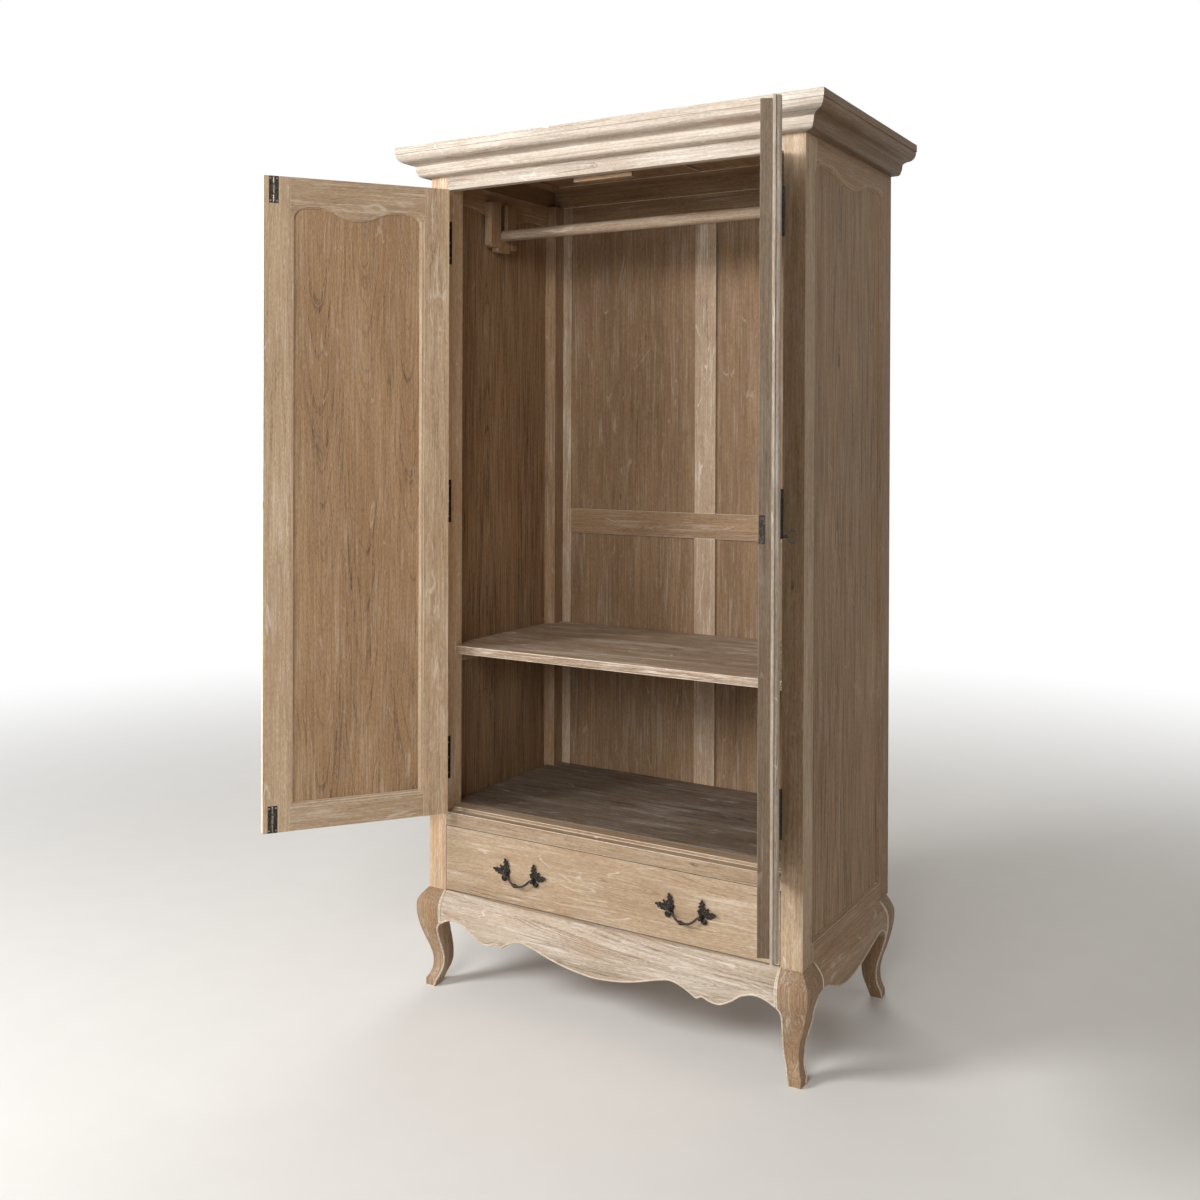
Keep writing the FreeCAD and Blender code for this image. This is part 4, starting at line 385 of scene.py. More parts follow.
class LimedOak:
    """The wood pattern that all boards share, as one node group in board coordinates.

    The first axis runs along the fibres, the second across the face and the third into it.
    """

    COLOURS = ("Light", "Middle", "Dark", "Red", "Lime")
    NUMBERS = (
        "Lime share", "Ring width", "Ring share", "Figure", "Wander", "Taper", "Pith depth",
        "Leaf width", "Knot share", "Fibre share", "Roughness", "Relief",
    )
    FIBRES = Layer(6.0, 210.0, 3.0, 0.62)
    SPECKLE = Layer(95.0, 520.0, 2.0, 0.7)
    PORES = Layer(22.0, 700.0, low=0.54, high=0.68)
    BLOTCHES = Layer(2.0, 8.0, 2.5, low=0.32, high=0.68)
    BANDS = Layer(0.9, 38.0, low=0.32, high=0.68)
    FADING = Layer(3.0, 22.0, low=0.32, high=0.62)
    WARMTH = Layer(3.4, 15.0, 3.0, low=0.55, high=0.74)
    PATCHES = Layer(4.6, 24.0, 4.5, 0.62, 0.3, low=0.49, high=0.66)
    SCRATCHES = Layer(14.0, 300.0, 1.0, low=0.69, high=0.75)
    DRIFT = Layer(1.3, 7.0, 2.5)
    RIPPLE = Layer(9.0, 30.0)
    CURLS = Layer(2.4, 14.0, 2.5, warp=0.8, low=0.003, high=0.012)
    BREAKS = Layer(8.0, 40.0, 3.0, 0.65, low=0.50, high=0.64)
    BASE_TONE = 0.24
    SPECKLE_TONE = 0.22
    BAND_TONE = 0.18
    BLOTCH_TONE = 0.22
    KNOT_TONE = -0.75
    FADED_LINE = 0.35
    MIDDLE_TONES = (-0.10, 0.42)
    LIGHT_TONES = (0.36, 0.92)
    RED_SHARE = 0.42
    LATE_PORES = 0.3
    RUBBED_SHARE = 0.85
    SCRATCH_SHARE = 0.9
    LEAF_SHIFT = 0.417
    KNOTS_PER_METRE = (2.6, 9.0, 9.0)
    KNOT_RADII = (0.014, 0.045)
    RING_EDGES = (0.04, 0.30, 0.90)
    UNEVEN_PITCH = 0.4
    UNEVEN_STEPS = 2.0
    RUBBED_FIBRES = (0.44, 0.62, 0.12, 1.0)
    LINE_PATCHES = (0.44, 0.60)
    LINE_SHARE = 1.2
    SHADES = (0.90, 1.08)
    PORE_HEIGHT = -0.7
    RING_HEIGHT = 0.35
    SPECKLE_HEIGHT = 0.5
    LIME_ROUGHNESS = 0.16
    FIBRE_ROUGHNESS = -0.15
    RELIEF_DEPTH = 0.0007

    def __init__(self) -> None:
        """Build the group."""
        self.tree = bpy.data.node_groups.new("Limed oak", "ShaderNodeTree")
        self.graph = Graph(self.tree)
        kinds = (
            ("INPUT", "NodeSocketVector", ("Board",)),
            ("INPUT", "NodeSocketColor", self.COLOURS),
            ("INPUT", "NodeSocketFloat", (*self.NUMBERS, "Tone")),
            ("OUTPUT", "NodeSocketColor", ("Color",)),
            ("OUTPUT", "NodeSocketFloat", ("Roughness",)),
            ("OUTPUT", "NodeSocketVector", ("Normal",)),
        )
        for way, kind, names in kinds:
            for name in names:
                self.tree.interface.new_socket(name, in_out=way, socket_type=kind)
        self.entry = self.graph.node("NodeGroupInput").outputs
        self.lay_pattern()

    def rings(self, board: Socket) -> tuple[Socket, Socket]:
        """Lay the yearly rings.

        A panel glued from several leaves repeats its figure: the place across is folded to
        y - leaf * round(y / leaf). The distance from the pith is then
        sqrt(y * y + (z + depth) ** 2) + taper * x + drift, and one ring is one whole step of that
        distance divided by the ring width.

        Args:
            board: Board coordinates.

        Returns:
            How light the ring is there, and how near the pores of its early wood are.
        """
        g, entry = self.graph, self.entry
        parts = g.node("ShaderNodeSeparateXYZ")
        g.feed(parts.inputs[0], board)
        along, across, inward = parts.outputs
        leaf = g.maths("ROUND", g.maths("DIVIDE", across, entry["Leaf width"]))
        folded = g.maths("SUBTRACT", across, g.maths("MULTIPLY", leaf, entry["Leaf width"]))
        drift = g.maths("SUBTRACT", g.noise(board, self.DRIFT), 0.5)
        ripple = g.maths("SUBTRACT", g.noise(board, self.RIPPLE), 0.5)
        lean = g.maths("MULTIPLY_ADD", drift, entry["Wander"], folded)
        depth = g.maths("ADD", inward, entry["Pith depth"])
        square = g.maths("ADD", g.maths("MULTIPLY", lean, lean), g.maths("MULTIPLY", depth, depth))
        shifted = g.maths("MULTIPLY_ADD", leaf, self.LEAF_SHIFT, along)
        radius = g.maths("MULTIPLY_ADD", shifted, entry["Taper"], g.maths("SQRT", square))
        radius = g.maths("MULTIPLY_ADD", drift, entry["Figure"], radius)
        half_ring = g.maths("MULTIPLY", entry["Ring width"], 0.5)
        radius = g.maths("MULTIPLY_ADD", ripple, half_ring, radius)
        steps = g.maths("DIVIDE", radius, entry["Ring width"])
        uneven = g.node("ShaderNodeTexNoise", noise_dimensions="1D")
        g.feed(uneven.inputs["W"], g.maths("MULTIPLY", steps, self.UNEVEN_PITCH))
        steps = g.maths("MULTIPLY_ADD", uneven.outputs["Fac"], self.UNEVEN_STEPS, steps)
        phase = g.maths("FRACT", steps)
        early_start, early_end, late_end = self.RING_EDGES
        rise = g.spread(phase, early_start, early_end)
        fall = g.spread(phase, late_end, 1.0, 1.0, 0.0)
        early = g.spread(phase, 0.0, early_end, 1.0, 0.0)
        return g.maths("MULTIPLY", rise, fall), early

    def knots(self, board: Socket) -> Socket:
        """Scatter a few small dark pin knots.

        Args:
            board: Board coordinates.

        Returns:
            1 on a knot, falling to 0 outside it.
        """
        g = self.graph
        cells = g.node("ShaderNodeTexVoronoi", feature="F1")
        g.feed(cells.inputs["Vector"], g.scaled(board, self.KNOTS_PER_METRE))
        cells.inputs["Scale"].default_value = 1.0
        tint = g.fed("ShaderNodeSeparateColor", cells.outputs["Color"])
        chosen = g.maths("LESS_THAN", tint, self.entry["Knot share"])
        inside = g.spread(cells.outputs["Distance"], *self.KNOT_RADII, 1.0, 0.0)
        return g.maths("MULTIPLY", inside, chosen)

    def wisps(self, board: Socket) -> Socket:
        """Draw thin curled traces of lime: broken contour lines of a soft, warped noise.

        Args:
            board: Board coordinates.

        Returns:
            1 on a trace, and 0 beside it.
        """
        g = self.graph
        off_line = g.maths("ABSOLUTE", g.maths("SUBTRACT", g.noise(board, self.CURLS), 0.5))
        trace = g.rise(off_line, self.CURLS, 1.0, 0.0)
        return g.maths("MULTIPLY", trace, g.rise(g.noise(board, self.BREAKS), self.BREAKS))

    def tones(self, board: Socket, ring: Socket, fibres: Socket, speckle: Socket) -> Socket:
        """Add up how light the wood is, before lime.

        It is the base tone, plus the fibres about their middle times their share, plus speckle,
        bands and blotches times their weights, less the ring lines where they haven't faded, less
        the knots.

        Args:
            board: Board coordinates.
            ring: How light the ring is.
            fibres: Noise of the fibres.
            speckle: Noise of the speckle.

        Returns:
            A tone from about 0 to 1.
        """
        g, entry = self.graph, self.entry
        tone = g.maths("MULTIPLY", g.rise(fibres, self.FIBRES, -0.5, 0.5), entry["Fibre share"])
        tone = g.maths("ADD", tone, self.BASE_TONE)
        tone = g.maths("MULTIPLY_ADD", g.rise(speckle, self.SPECKLE), self.SPECKLE_TONE, tone)
        for layer, weight in ((self.BANDS, self.BAND_TONE), (self.BLOTCHES, self.BLOTCH_TONE)):
            tone = g.maths("MULTIPLY_ADD", g.rise(g.noise(board, layer), layer), weight, tone)
        faded = g.rise(g.noise(board, self.FADING), self.FADING, self.FADED_LINE, 1.0)
        line = g.maths("MULTIPLY", entry["Ring share"], faded)
        tone = g.maths("SUBTRACT", tone, g.maths("MULTIPLY", g.maths("SUBTRACT", 1.0, ring), line))
        return g.maths("MULTIPLY_ADD", self.knots(board), self.KNOT_TONE, tone)

    def lime(self, board: Socket, early: Socket, fibres: Socket, pores: Socket) -> Socket:
        """Find how much lime lies in the grain.

        It is the most of rubbed patches, ring lines, pores, scratches and wisps, times the
        finish's own share.

        Args:
            board: Board coordinates.
            early: How near the pores of the early wood are.
            fibres: Noise of the fibres.
            pores: How open the pores are.

        Returns:
            A share from 0 to 1.
        """
        g, entry = self.graph, self.entry
        patches = g.noise(board, self.PATCHES)
        along_fibres = g.spread(fibres, *self.RUBBED_FIBRES)
        rubbed = g.maths("MULTIPLY", g.rise(patches, self.PATCHES), along_fibres)
        lines = g.maths("MULTIPLY", early, g.spread(patches, *self.LINE_PATCHES))
        lines = g.maths("MULTIPLY", lines, g.maths("MULTIPLY", entry["Ring share"], self.LINE_SHARE))
        scratches = g.rise(g.noise(board, self.SCRATCHES), self.SCRATCHES, 0.0, self.SCRATCH_SHARE)
        limed = g.maths("MULTIPLY", rubbed, self.RUBBED_SHARE)
        for more in (lines, pores, scratches, self.wisps(board)):
            limed = g.maths("MAXIMUM", limed, more)
        return g.maths("MULTIPLY", limed, entry["Lime share"], clamp=True)

    def lay_pattern(self) -> None:
        """Combine rings, fibres, pores, blotches and lime into colour, roughness and relief."""
        g, entry = self.graph, self.entry
        board = entry["Board"]
        ring, early = self.rings(board)
        fibres, speckle = g.noise(board, self.FIBRES), g.noise(board, self.SPECKLE)
        open_pores = g.maths("MULTIPLY_ADD", early, 1 - self.LATE_PORES, self.LATE_PORES)
        pores = g.maths("MULTIPLY", g.rise(g.noise(board, self.PORES), self.PORES), open_pores)
        tone = self.tones(board, ring, fibres, speckle)
        low = g.blend(g.spread(tone, *self.MIDDLE_TONES), entry["Dark"], entry["Middle"])
        colour = g.blend(g.spread(tone, *self.LIGHT_TONES), low, entry["Light"])
        warm = g.rise(g.noise(board, self.WARMTH), self.WARMTH, 0.0, self.RED_SHARE)
        colour = g.blend(warm, colour, entry["Red"])
        limed = self.lime(board, early, fibres, pores)
        colour = g.blend(limed, colour, entry["Lime"])
        shade = g.maths("MULTIPLY", entry["Tone"], g.rise(speckle, self.SPECKLE, *self.SHADES))
        grey = g.fed("ShaderNodeCombineXYZ", shade, shade, shade)
        colour = g.blend(1.0, colour, grey, kind="MULTIPLY")
        height = g.maths("MULTIPLY_ADD", ring, self.RING_HEIGHT, fibres)
        height = g.maths("MULTIPLY_ADD", pores, self.PORE_HEIGHT, height)
        height = g.maths("MULTIPLY_ADD", speckle, self.SPECKLE_HEIGHT, height)
        rough = g.maths("MULTIPLY_ADD", limed, self.LIME_ROUGHNESS, entry["Roughness"])
        off_middle = g.maths("SUBTRACT", fibres, 0.5)
        rough = g.maths("MULTIPLY_ADD", off_middle, self.FIBRE_ROUGHNESS, rough, clamp=True)
        ends = g.node("NodeGroupOutput").inputs
        g.feed(ends["Color"], colour)
        g.feed(ends["Roughness"], rough)
        g.feed(ends["Normal"], g.relief(height, self.RELIEF_DEPTH, entry["Relief"]))


@dataclass(frozen=True)
class Cut:
    """How one board was cut: where its fibres run, where its face looks and how its figure lies."""

    along: Triple
    facing: Triple
    pith_shift: float = 0.0
    pith_depth: float | None = None
    tone: float = 1.0
    lime: float = 1.0

    def axes(self) -> Matrix:
        """Find the board's axes: along the fibres, across the face and into the board.

        Returns:
            Their directions in the row frame, one row each.
        """
        along = Vector(self.along).normalized()
        inward = -Vector(self.facing).normalized()
        return Matrix((along, inward.cross(along), inward))


def upright(facing: Triple = Facing.FRONT.value, **more: float) -> Cut:
    """Return the cut of a board whose fibres stand upright."""
    return Cut(Way.UPWARD.value, facing, **more)


def lengthwise(facing: Triple = Facing.FRONT.value, **more: float) -> Cut:
    """Return the cut of a board whose fibres run from left to right."""
    return Cut(Way.ACROSS.value, facing, **more)


def inward(facing: Triple = Facing.SIDE.value, **more: float) -> Cut:
    """Return the cut of a board whose fibres run from front to back."""
    return Cut(Way.INWARD.value, facing, **more)


class WoodShop:
    """Gives each board its own piece of oak, cut along its length."""

    SEED_STEP = 1.37
    SEED_SPAN = 7.0
    SPECULAR = 0.32

    def __init__(self) -> None:
        """Build the shared pattern."""
        self.oak = LimedOak()
        self.count = 0

    def plank(self, finish: OakFinish, cut: Cut, centre: Vector, name: str) -> bpy.types.Material:
        """Make the material of one board.

        Args:
            finish: Shade of oak.
            cut: How the board was cut.
            centre: Middle of the board, in the row frame.
            name: Name for the material.

        Returns:
            The material.
        """
        self.count += 1
        material, g = new_material(name)
        axes = cut.axes()
        seed = Vector((self.count * self.SEED_STEP % self.SEED_SPAN + 1.0, cut.pith_shift, 0.0))
        mapping = g.node("ShaderNodeMapping", vector_type="POINT")
        mapping.inputs["Rotation"].default_value = axes.to_euler("XYZ")
        mapping.inputs["Location"].default_value = seed - axes @ centre
        g.feed(mapping.inputs["Vector"], g.node("ShaderNodeTexCoord").outputs["Object"])
        group = g.node("ShaderNodeGroup", node_tree=self.oak.tree)
        g.feed(group.inputs["Board"], mapping.outputs[0])
        for socket in (*LimedOak.COLOURS, *LimedOak.NUMBERS):
            g.feed(group.inputs[socket], getattr(finish, socket.lower().replace(" ", "_")))
        group.inputs["Lime share"].default_value = finish.lime_share * cut.lime
        group.inputs["Tone"].default_value = cut.tone
        if cut.pith_depth is not None:
            group.inputs["Pith depth"].default_value = cut.pith_depth
        shader = g.node("ShaderNodeBsdfPrincipled")
        for ours, theirs in (("Color", "Base Color"), ("Roughness", "Roughness"), ("Normal", "Normal")):
            g.feed(shader.inputs[theirs], group.outputs[ours])
        shader.inputs["Specular IOR Level"].default_value = self.SPECULAR
        g.show(shader.outputs[0])
        return material


# Iron


@dataclass(frozen=True)
class IronFinish:
    """Near-black antique iron, brown where hands have rubbed it."""

    name: str
    base: Colour = (0.030, 0.026, 0.023)
    worn: Colour = (0.15, 0.115, 0.085)
    worn_share: float = 0.5
    roughness: float = 0.46
    metallic: float = 0.82
    gloss_range: float = 0.35
    grit_share: float = 0.4
    relief_depth: float = 0.0004
    relief: float = 0.35
    mottle: Layer = Layer(240.0, 240.0, 4.0, 0.65, low=0.46, high=0.66)
    grit: Layer = Layer(1500.0, 1500.0)

    def material(self) -> bpy.types.Material:
        """Build the metal's material: two mixed colours, mottled gloss and a cast skin.

        Returns:
            The material.
        """
        material, g = new_material(self.name)
        place = g.node("ShaderNodeTexCoord").outputs["Object"]
        mottle, grit = g.noise(place, self.mottle), g.noise(place, self.grit)
        worn = g.maths("MULTIPLY", g.rise(mottle, self.mottle), self.worn_share)
        shader = g.node("ShaderNodeBsdfPrincipled")
        g.feed(shader.inputs["Base Color"], g.blend(worn, self.base, self.worn))
        shader.inputs["Metallic"].default_value = self.metallic
        off_middle = g.maths("SUBTRACT", mottle, 0.5)
        rough = g.maths("MULTIPLY_ADD", off_middle, self.gloss_range, self.roughness)
        g.feed(shader.inputs["Roughness"], rough)
        height = g.maths("MULTIPLY_ADD", grit, self.grit_share, mottle)
        g.feed(shader.inputs["Normal"], g.relief(height, self.relief_depth, self.relief))
        g.show(shader.outputs[0])
        return material


DARK_IRON = IronFinish("dark iron")
RUBBED_STEEL = IronFinish(
    "rubbed screw steel", base=(0.20, 0.17, 0.14), worn=(0.42, 0.36, 0.29), roughness=0.38
)


# New surfaces


@dataclass
class Surface:
    """A grid of points, rows by columns, that becomes part of a smooth mesh."""

    points: np.ndarray
    closed_across: bool = False
    capped: bool = False

    def faces(self, first: int) -> list[list[int]]:
        """Join each point to its next row and column, and close the caps.

        Args:
            first: Number of the grid's first point in the mesh.

        Returns:
            The faces, as lists of point numbers.
        """
        rows, columns = self.points.shape[:2]
        reach = columns if self.closed_across else columns - 1
        row, column = np.meshgrid(np.arange(rows - 1), np.arange(reach), indexing="ij")
        here, after = row * columns + column, row * columns + (column + 1) % columns
        corners = (here, after, after + columns, here + columns)
        faces = (np.stack(corners, axis=-1).reshape(-1, 4) + first).tolist()
        if self.capped:
            start = np.arange(columns) + first
            faces.append(start[::-1].tolist())
            faces.append((start + (rows - 1) * columns).tolist())
        return faces

    def moved(self, place: Matrix) -> Surface:
        """Return the surface carried by a matrix."""
        turn, shift = np.array(place.to_3x3()), np.array(place.translation)
        return replace(self, points=self.points @ turn.T + shift)


def joined(name: str, surfaces: Sequence[Surface], material: bpy.types.Material) -> bpy.types.Object:
    """Join surfaces into one object whose faces look outwards.

    Args:
        name: The object's name.
        surfaces: Its parts.
        material: Its finish.

    Returns:
        The object, in the scene.
    """
    points, faces, first = [], [], 0
    for surface in surfaces:
        faces += surface.faces(first)
        points.append(surface.points.reshape(-1, 3))
        first += len(points[-1])
    mesh = bpy.data.meshes.new(name)
    mesh.from_pydata(np.concatenate(points).tolist(), [], faces)
    outward = bmesh.new()
    outward.from_mesh(mesh)
    bmesh.ops.recalc_face_normals(outward, faces=outward.faces)
    outward.to_mesh(mesh)
    outward.free()
    mesh.polygons.foreach_set("use_smooth", np.ones(len(mesh.polygons), bool))
    mesh.materials.append(material)
    LOG.info("%s: %d faces", name, len(faces))
    return linked(name, mesh)


def unit(vectors: np.ndarray) -> np.ndarray:
    """Return each row of an array at length one."""
    return vectors / np.linalg.norm(vectors, axis=1, keepdims=True)


def tube(path: np.ndarray, radii: np.ndarray | float, across: Triple, sides: int = 14) -> Surface:
    """Sweep a round section along a path.

    A point of the section is path + radius * (cos(a) * across' + sin(a) * up), where up is
    the unit vector of travel x across, and across' is up x travel.

    Args:
        path: Points of the path, one row each.
        radii: Radius at each point, or one for all.
        across: A direction that the path never follows.
        sides: Points round the section.

    Returns:
        The closed tube.
    """
    travel = unit(np.gradient(path, axis=0))
    up = unit(np.cross(travel, np.array(across)))
    side = np.cross(up, travel)
    angle = (np.arange(sides) * math.tau / sides)[None, :, None]
    radii = np.broadcast_to(np.asarray(radii, float), len(path))[:, None, None]
    ring = np.cos(angle) * side[:, None, :] + np.sin(angle) * up[:, None, :]
    return Surface(path[:, None, :] + radii * ring, closed_across=True, capped=True)


def lathed(profile: Sequence[tuple[float, float]], sides: int = 24) -> Surface:
    """Turn a profile round the third axis: (radius * cos(a), radius * sin(a), height).

    Args:
        profile: Pairs of radius and height, from the foot up.
        sides: Points round it.

    Returns:
        The closed body.
    """
    radius, height = np.array(profile, float).T[:, :, None]
    angle = np.arange(sides) * math.tau / sides
    parts = (radius * np.cos(angle), radius * np.sin(angle), np.repeat(height, sides, axis=1))
    return Surface(np.stack(parts, axis=-1), closed_across=True, capped=True)


def rim(node: bpy.types.Object, face: Triple, turned: Triple, least: float) -> np.ndarray:
    """Find the rim where a face of a board turns over to another side.

    Triangles that look within about 53 degrees of the face's direction are on the face. Those
    more than 60 degrees off it that look the other way enough are over the rim.

    Args:
        node: The board.
        face: Where the face looks.
        turned: Where the other side looks.
        least: Least dot product between the other side's normal and that direction.

    Returns:
        The points of the longest run of that rim, in order.
    """
    on_face_least, over_most, places_kept = 0.6, 0.5, 5
    mesh = node.data
    mesh.calc_loop_triangles()
    count = len(mesh.loop_triangles)
    corners, normals = np.empty(count * 3, np.int32), np.empty(count * 3, np.float32)
    mesh.loop_triangles.foreach_get("vertices", corners)
    mesh.loop_triangles.foreach_get("normal", normals)
    places = np.empty(len(mesh.vertices) * 3, np.float32)
    mesh.vertices.foreach_get("co", places)
    normals, places = normals.reshape(-1, 3), places.reshape(-1, 3)
    rounded = np.round(places, places_kept)
    _, kept, same = np.unique(rounded, axis=0, return_index=True, return_inverse=True)
    corners = same.reshape(-1)[corners].reshape(-1, 3)
    towards = normals @ np.array(face)
    on_face = towards > on_face_least
    over = (np.abs(towards) < over_most) & (normals @ np.array(turned) > least)
    edges = np.stack((corners, np.roll(corners, -1, axis=1)), axis=-1).reshape(-1, 2)
    edges = np.sort(edges, axis=1)
    owner = np.repeat(np.arange(count), 3)
    faced = {tuple(edge) for edge in edges[on_face[owner]].tolist()}
    turned_over = {tuple(edge) for edge in edges[over[owner]].tolist()}
    return places[kept[longest_run(faced & turned_over)]]


def longest_run(edges: set[tuple[int, int]]) -> list[int]:
    """Chain edges end to end.

    Args:
        edges: Pairs of point numbers.

    Returns:
        The point numbers of the longest chain.
    """
    beside: dict[int, list[int]] = {}
    for start, end in edges:
        beside.setdefault(start, []).append(end)
        beside.setdefault(end, []).append(start)
    best: list[int] = []
    unused = set(beside)
    for start in sorted(point for point in beside if len(beside[point]) == 1):
        run, last = [start], start
        while start in unused and (ahead := [point for point in beside[last] if point not in run]):
            last = ahead[0]
            run.append(last)
        unused -= set(run)
        best = max(best, run, key=len)
    return best


# The frame's own boards and ironwork


class Dresser:
    """Puts finishes and eased edges on the frame's nodes."""

    WELD_REACH = 0.00001
    SHARP_DEGREES = 32.0
    BOARD_EDGE = 0.0011
    METAL_EDGE = 0.0004

    def __init__(self, nodes: dict[str, bpy.types.Object]) -> None:
        """Keep the nodes, open the wood shop and mix the metals.

        Args:
            nodes: The frame's nodes by name.
        """
        self.nodes = nodes
        self.shop = WoodShop()
        self.iron = DARK_IRON.material()
        self.steel = RUBBED_STEEL.material()

    def board(
        self, name: str, finish: OakFinish, cut: Cut, edge: float = BOARD_EDGE, edge_tone: float = 1.0
    ) -> None:
        """Dress one board of the frame.

        Args:
            name: The node.
            finish: Its shade of oak.
            cut: How it was cut.
            edge: Width of its eased edges, which get the lighter edge oak: partly
                rubbed wear, partly a painted highlight on the arrises.
            edge_tone: How light those edges are; it scales that painted highlight.
        """
        low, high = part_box(name)
        centre = (low + high) / 2
        face = self.shop.plank(finish, cut, centre, name)
        # The eased edges get lighter oak: partly rubbed wear, partly a painted highlight on the arrises.
        worn = replace(cut, tone=cut.tone * edge_tone)
        rubbed = self.shop.plank(EDGE, worn, centre, name + "_edge")
        self.finish(name, (face, rubbed), edge)
        LOG.info("%s: %s", name, finish.name)

    def metal(self, name: str, finish: bpy.types.Material | None = None) -> None:
        """Dress one piece of ironwork of the frame."""
        self.finish(name, (finish or self.iron,), self.METAL_EDGE)
        LOG.info("%s: iron", name)

    def finish(self, name: str, materials: Sequence[bpy.types.Material], edge: float) -> None:
        """Give a node its materials, and ease its sharp edges in the last of them.

        Args:
            name: The node.
            materials: Its materials, in order of their slots.
            edge: Width of the eased edges.
        """
        node = self.nodes[name]
        node.data.materials.clear()
        for material in materials:
            node.data.materials.append(material)
        weld = node.modifiers.new("weld", "WELD")
        weld.merge_threshold = self.WELD_REACH
        bevel = node.modifiers.new("ease", "BEVEL")
        bevel.width = edge
        bevel.segments = 2
        bevel.limit_method = "ANGLE"
        bevel.angle_limit = math.radians(self.SHARP_DEGREES)
        bevel.harden_normals = True
        bevel.material = len(materials) - 1
        bevel.use_clamp_overlap = True

    def crossed(
        self,
        name: str,
        finishes: tuple[OakFinish, OakFinish],
        cuts: tuple[Cut, Cut],
        second: np.ndarray,
    ) -> None:
        """Dress a node whose faces show two cuts or two finishes.

        Args:
            name: The node.
            finishes: Shade of oak of the first faces and of the second ones.
            cuts: Cut of the first faces and of the second ones.
            second: For each polygon, whether it is one of the second faces.
        """
        self.board(name, finishes[0], cuts[0])
        mesh = self.nodes[name].data
        low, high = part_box(name)
        other = self.shop.plank(finishes[1], cuts[1], (low + high) / 2, name + "_second")
        mesh.materials.append(other)
        slot = len(mesh.materials) - 1
        mesh.polygons.foreach_set("material_index", np.where(second, slot, 0).astype(np.int32))

    def faces(self, name: str, what: str) -> np.ndarray:
        """Read where each of a node's polygons lies, or where it looks.

        Args:
            name: The node.
            what: Either "center" or "normal".

        Returns:
            One row for each polygon.
        """
        polygons = self.nodes[name].data.polygons
        values = np.empty(len(polygons) * 3)
        polygons.foreach_get(what, values)
        return values.reshape(-1, 3)


# Added pieces


@dataclass(frozen=True)
class Leaf:
    """One lobed leaf of a handle's mount, in metres and degrees.

    The root is where it starts beside the post, and the lift is how far its tip stands off.
    """

    root: tuple[float, float]
    angle: float
    length: float
    width: float
    lift: float
    lobes: float = 4.0
    body: float = 0.0012
    midrib: float = 0.0016
    lobe_rib: float = 0.0009
    hollow: float = 0.0010
    thickness: float = 0.0014
    bedded: float = 0.0001

    def surface(self, rows: int = 40, columns: int = 15) -> Surface:
        """Model the leaf, lying on the plane of the first and third axes.

        With t from root to tip and s from edge to edge, lobe is
        |sin(pi * (lobes * t - 0.35 * |s|))| ** 0.7, and half the width is
        width / 2 * sin(pi * t ** 0.8) ** 0.6 * (0.30 + 0.70 * lobe). The front stands off by the
        body, the midrib, the lobes' ribs, the hollow beside the midrib and the lift of the tip.

        Args:
            rows: Points along the leaf.
            columns: Points across it.

        Returns:
            The closed leaf.
        """
        t = np.linspace(0.02, 0.995, rows)[:, None]
        s = np.linspace(-1.0, 1.0, columns)[None, :]
        lobe = np.abs(np.sin(math.pi * (self.lobes * t - 0.35 * np.abs(s)))) ** 0.7
        half = self.width / 2 * np.sin(math.pi * t ** 0.8) ** 0.6 * (0.30 + 0.70 * lobe)
        along = self.length * (t + 0.10 * np.abs(s) * (1 - t))
        rib = self.midrib * np.exp(-((s / 0.16) ** 2)) * (1 - 0.5 * t)
        ribs = self.lobe_rib * lobe * np.sin(math.pi * np.abs(s) ** 0.8)
        stand = self.body + rib + ribs + self.lift * t * t + self.hollow * s * s
        turn = math.radians(self.angle)
        ahead, aside = np.array(((math.cos(turn), math.sin(turn)), (-math.sin(turn), math.cos(turn))))
        flat = along[..., None] * ahead + (half * s)[..., None] * aside + np.array(self.root)
        front = np.stack((flat[..., 0], -stand, flat[..., 1]), axis=-1)
        rear = front[:, ::-1] + np.array((0.0, self.thickness, 0.0))
        rear[..., 1] = np.minimum(rear[..., 1], -self.bedded)
        return Surface(np.concatenate((front, rear), axis=1), closed_across=True, capped=True)


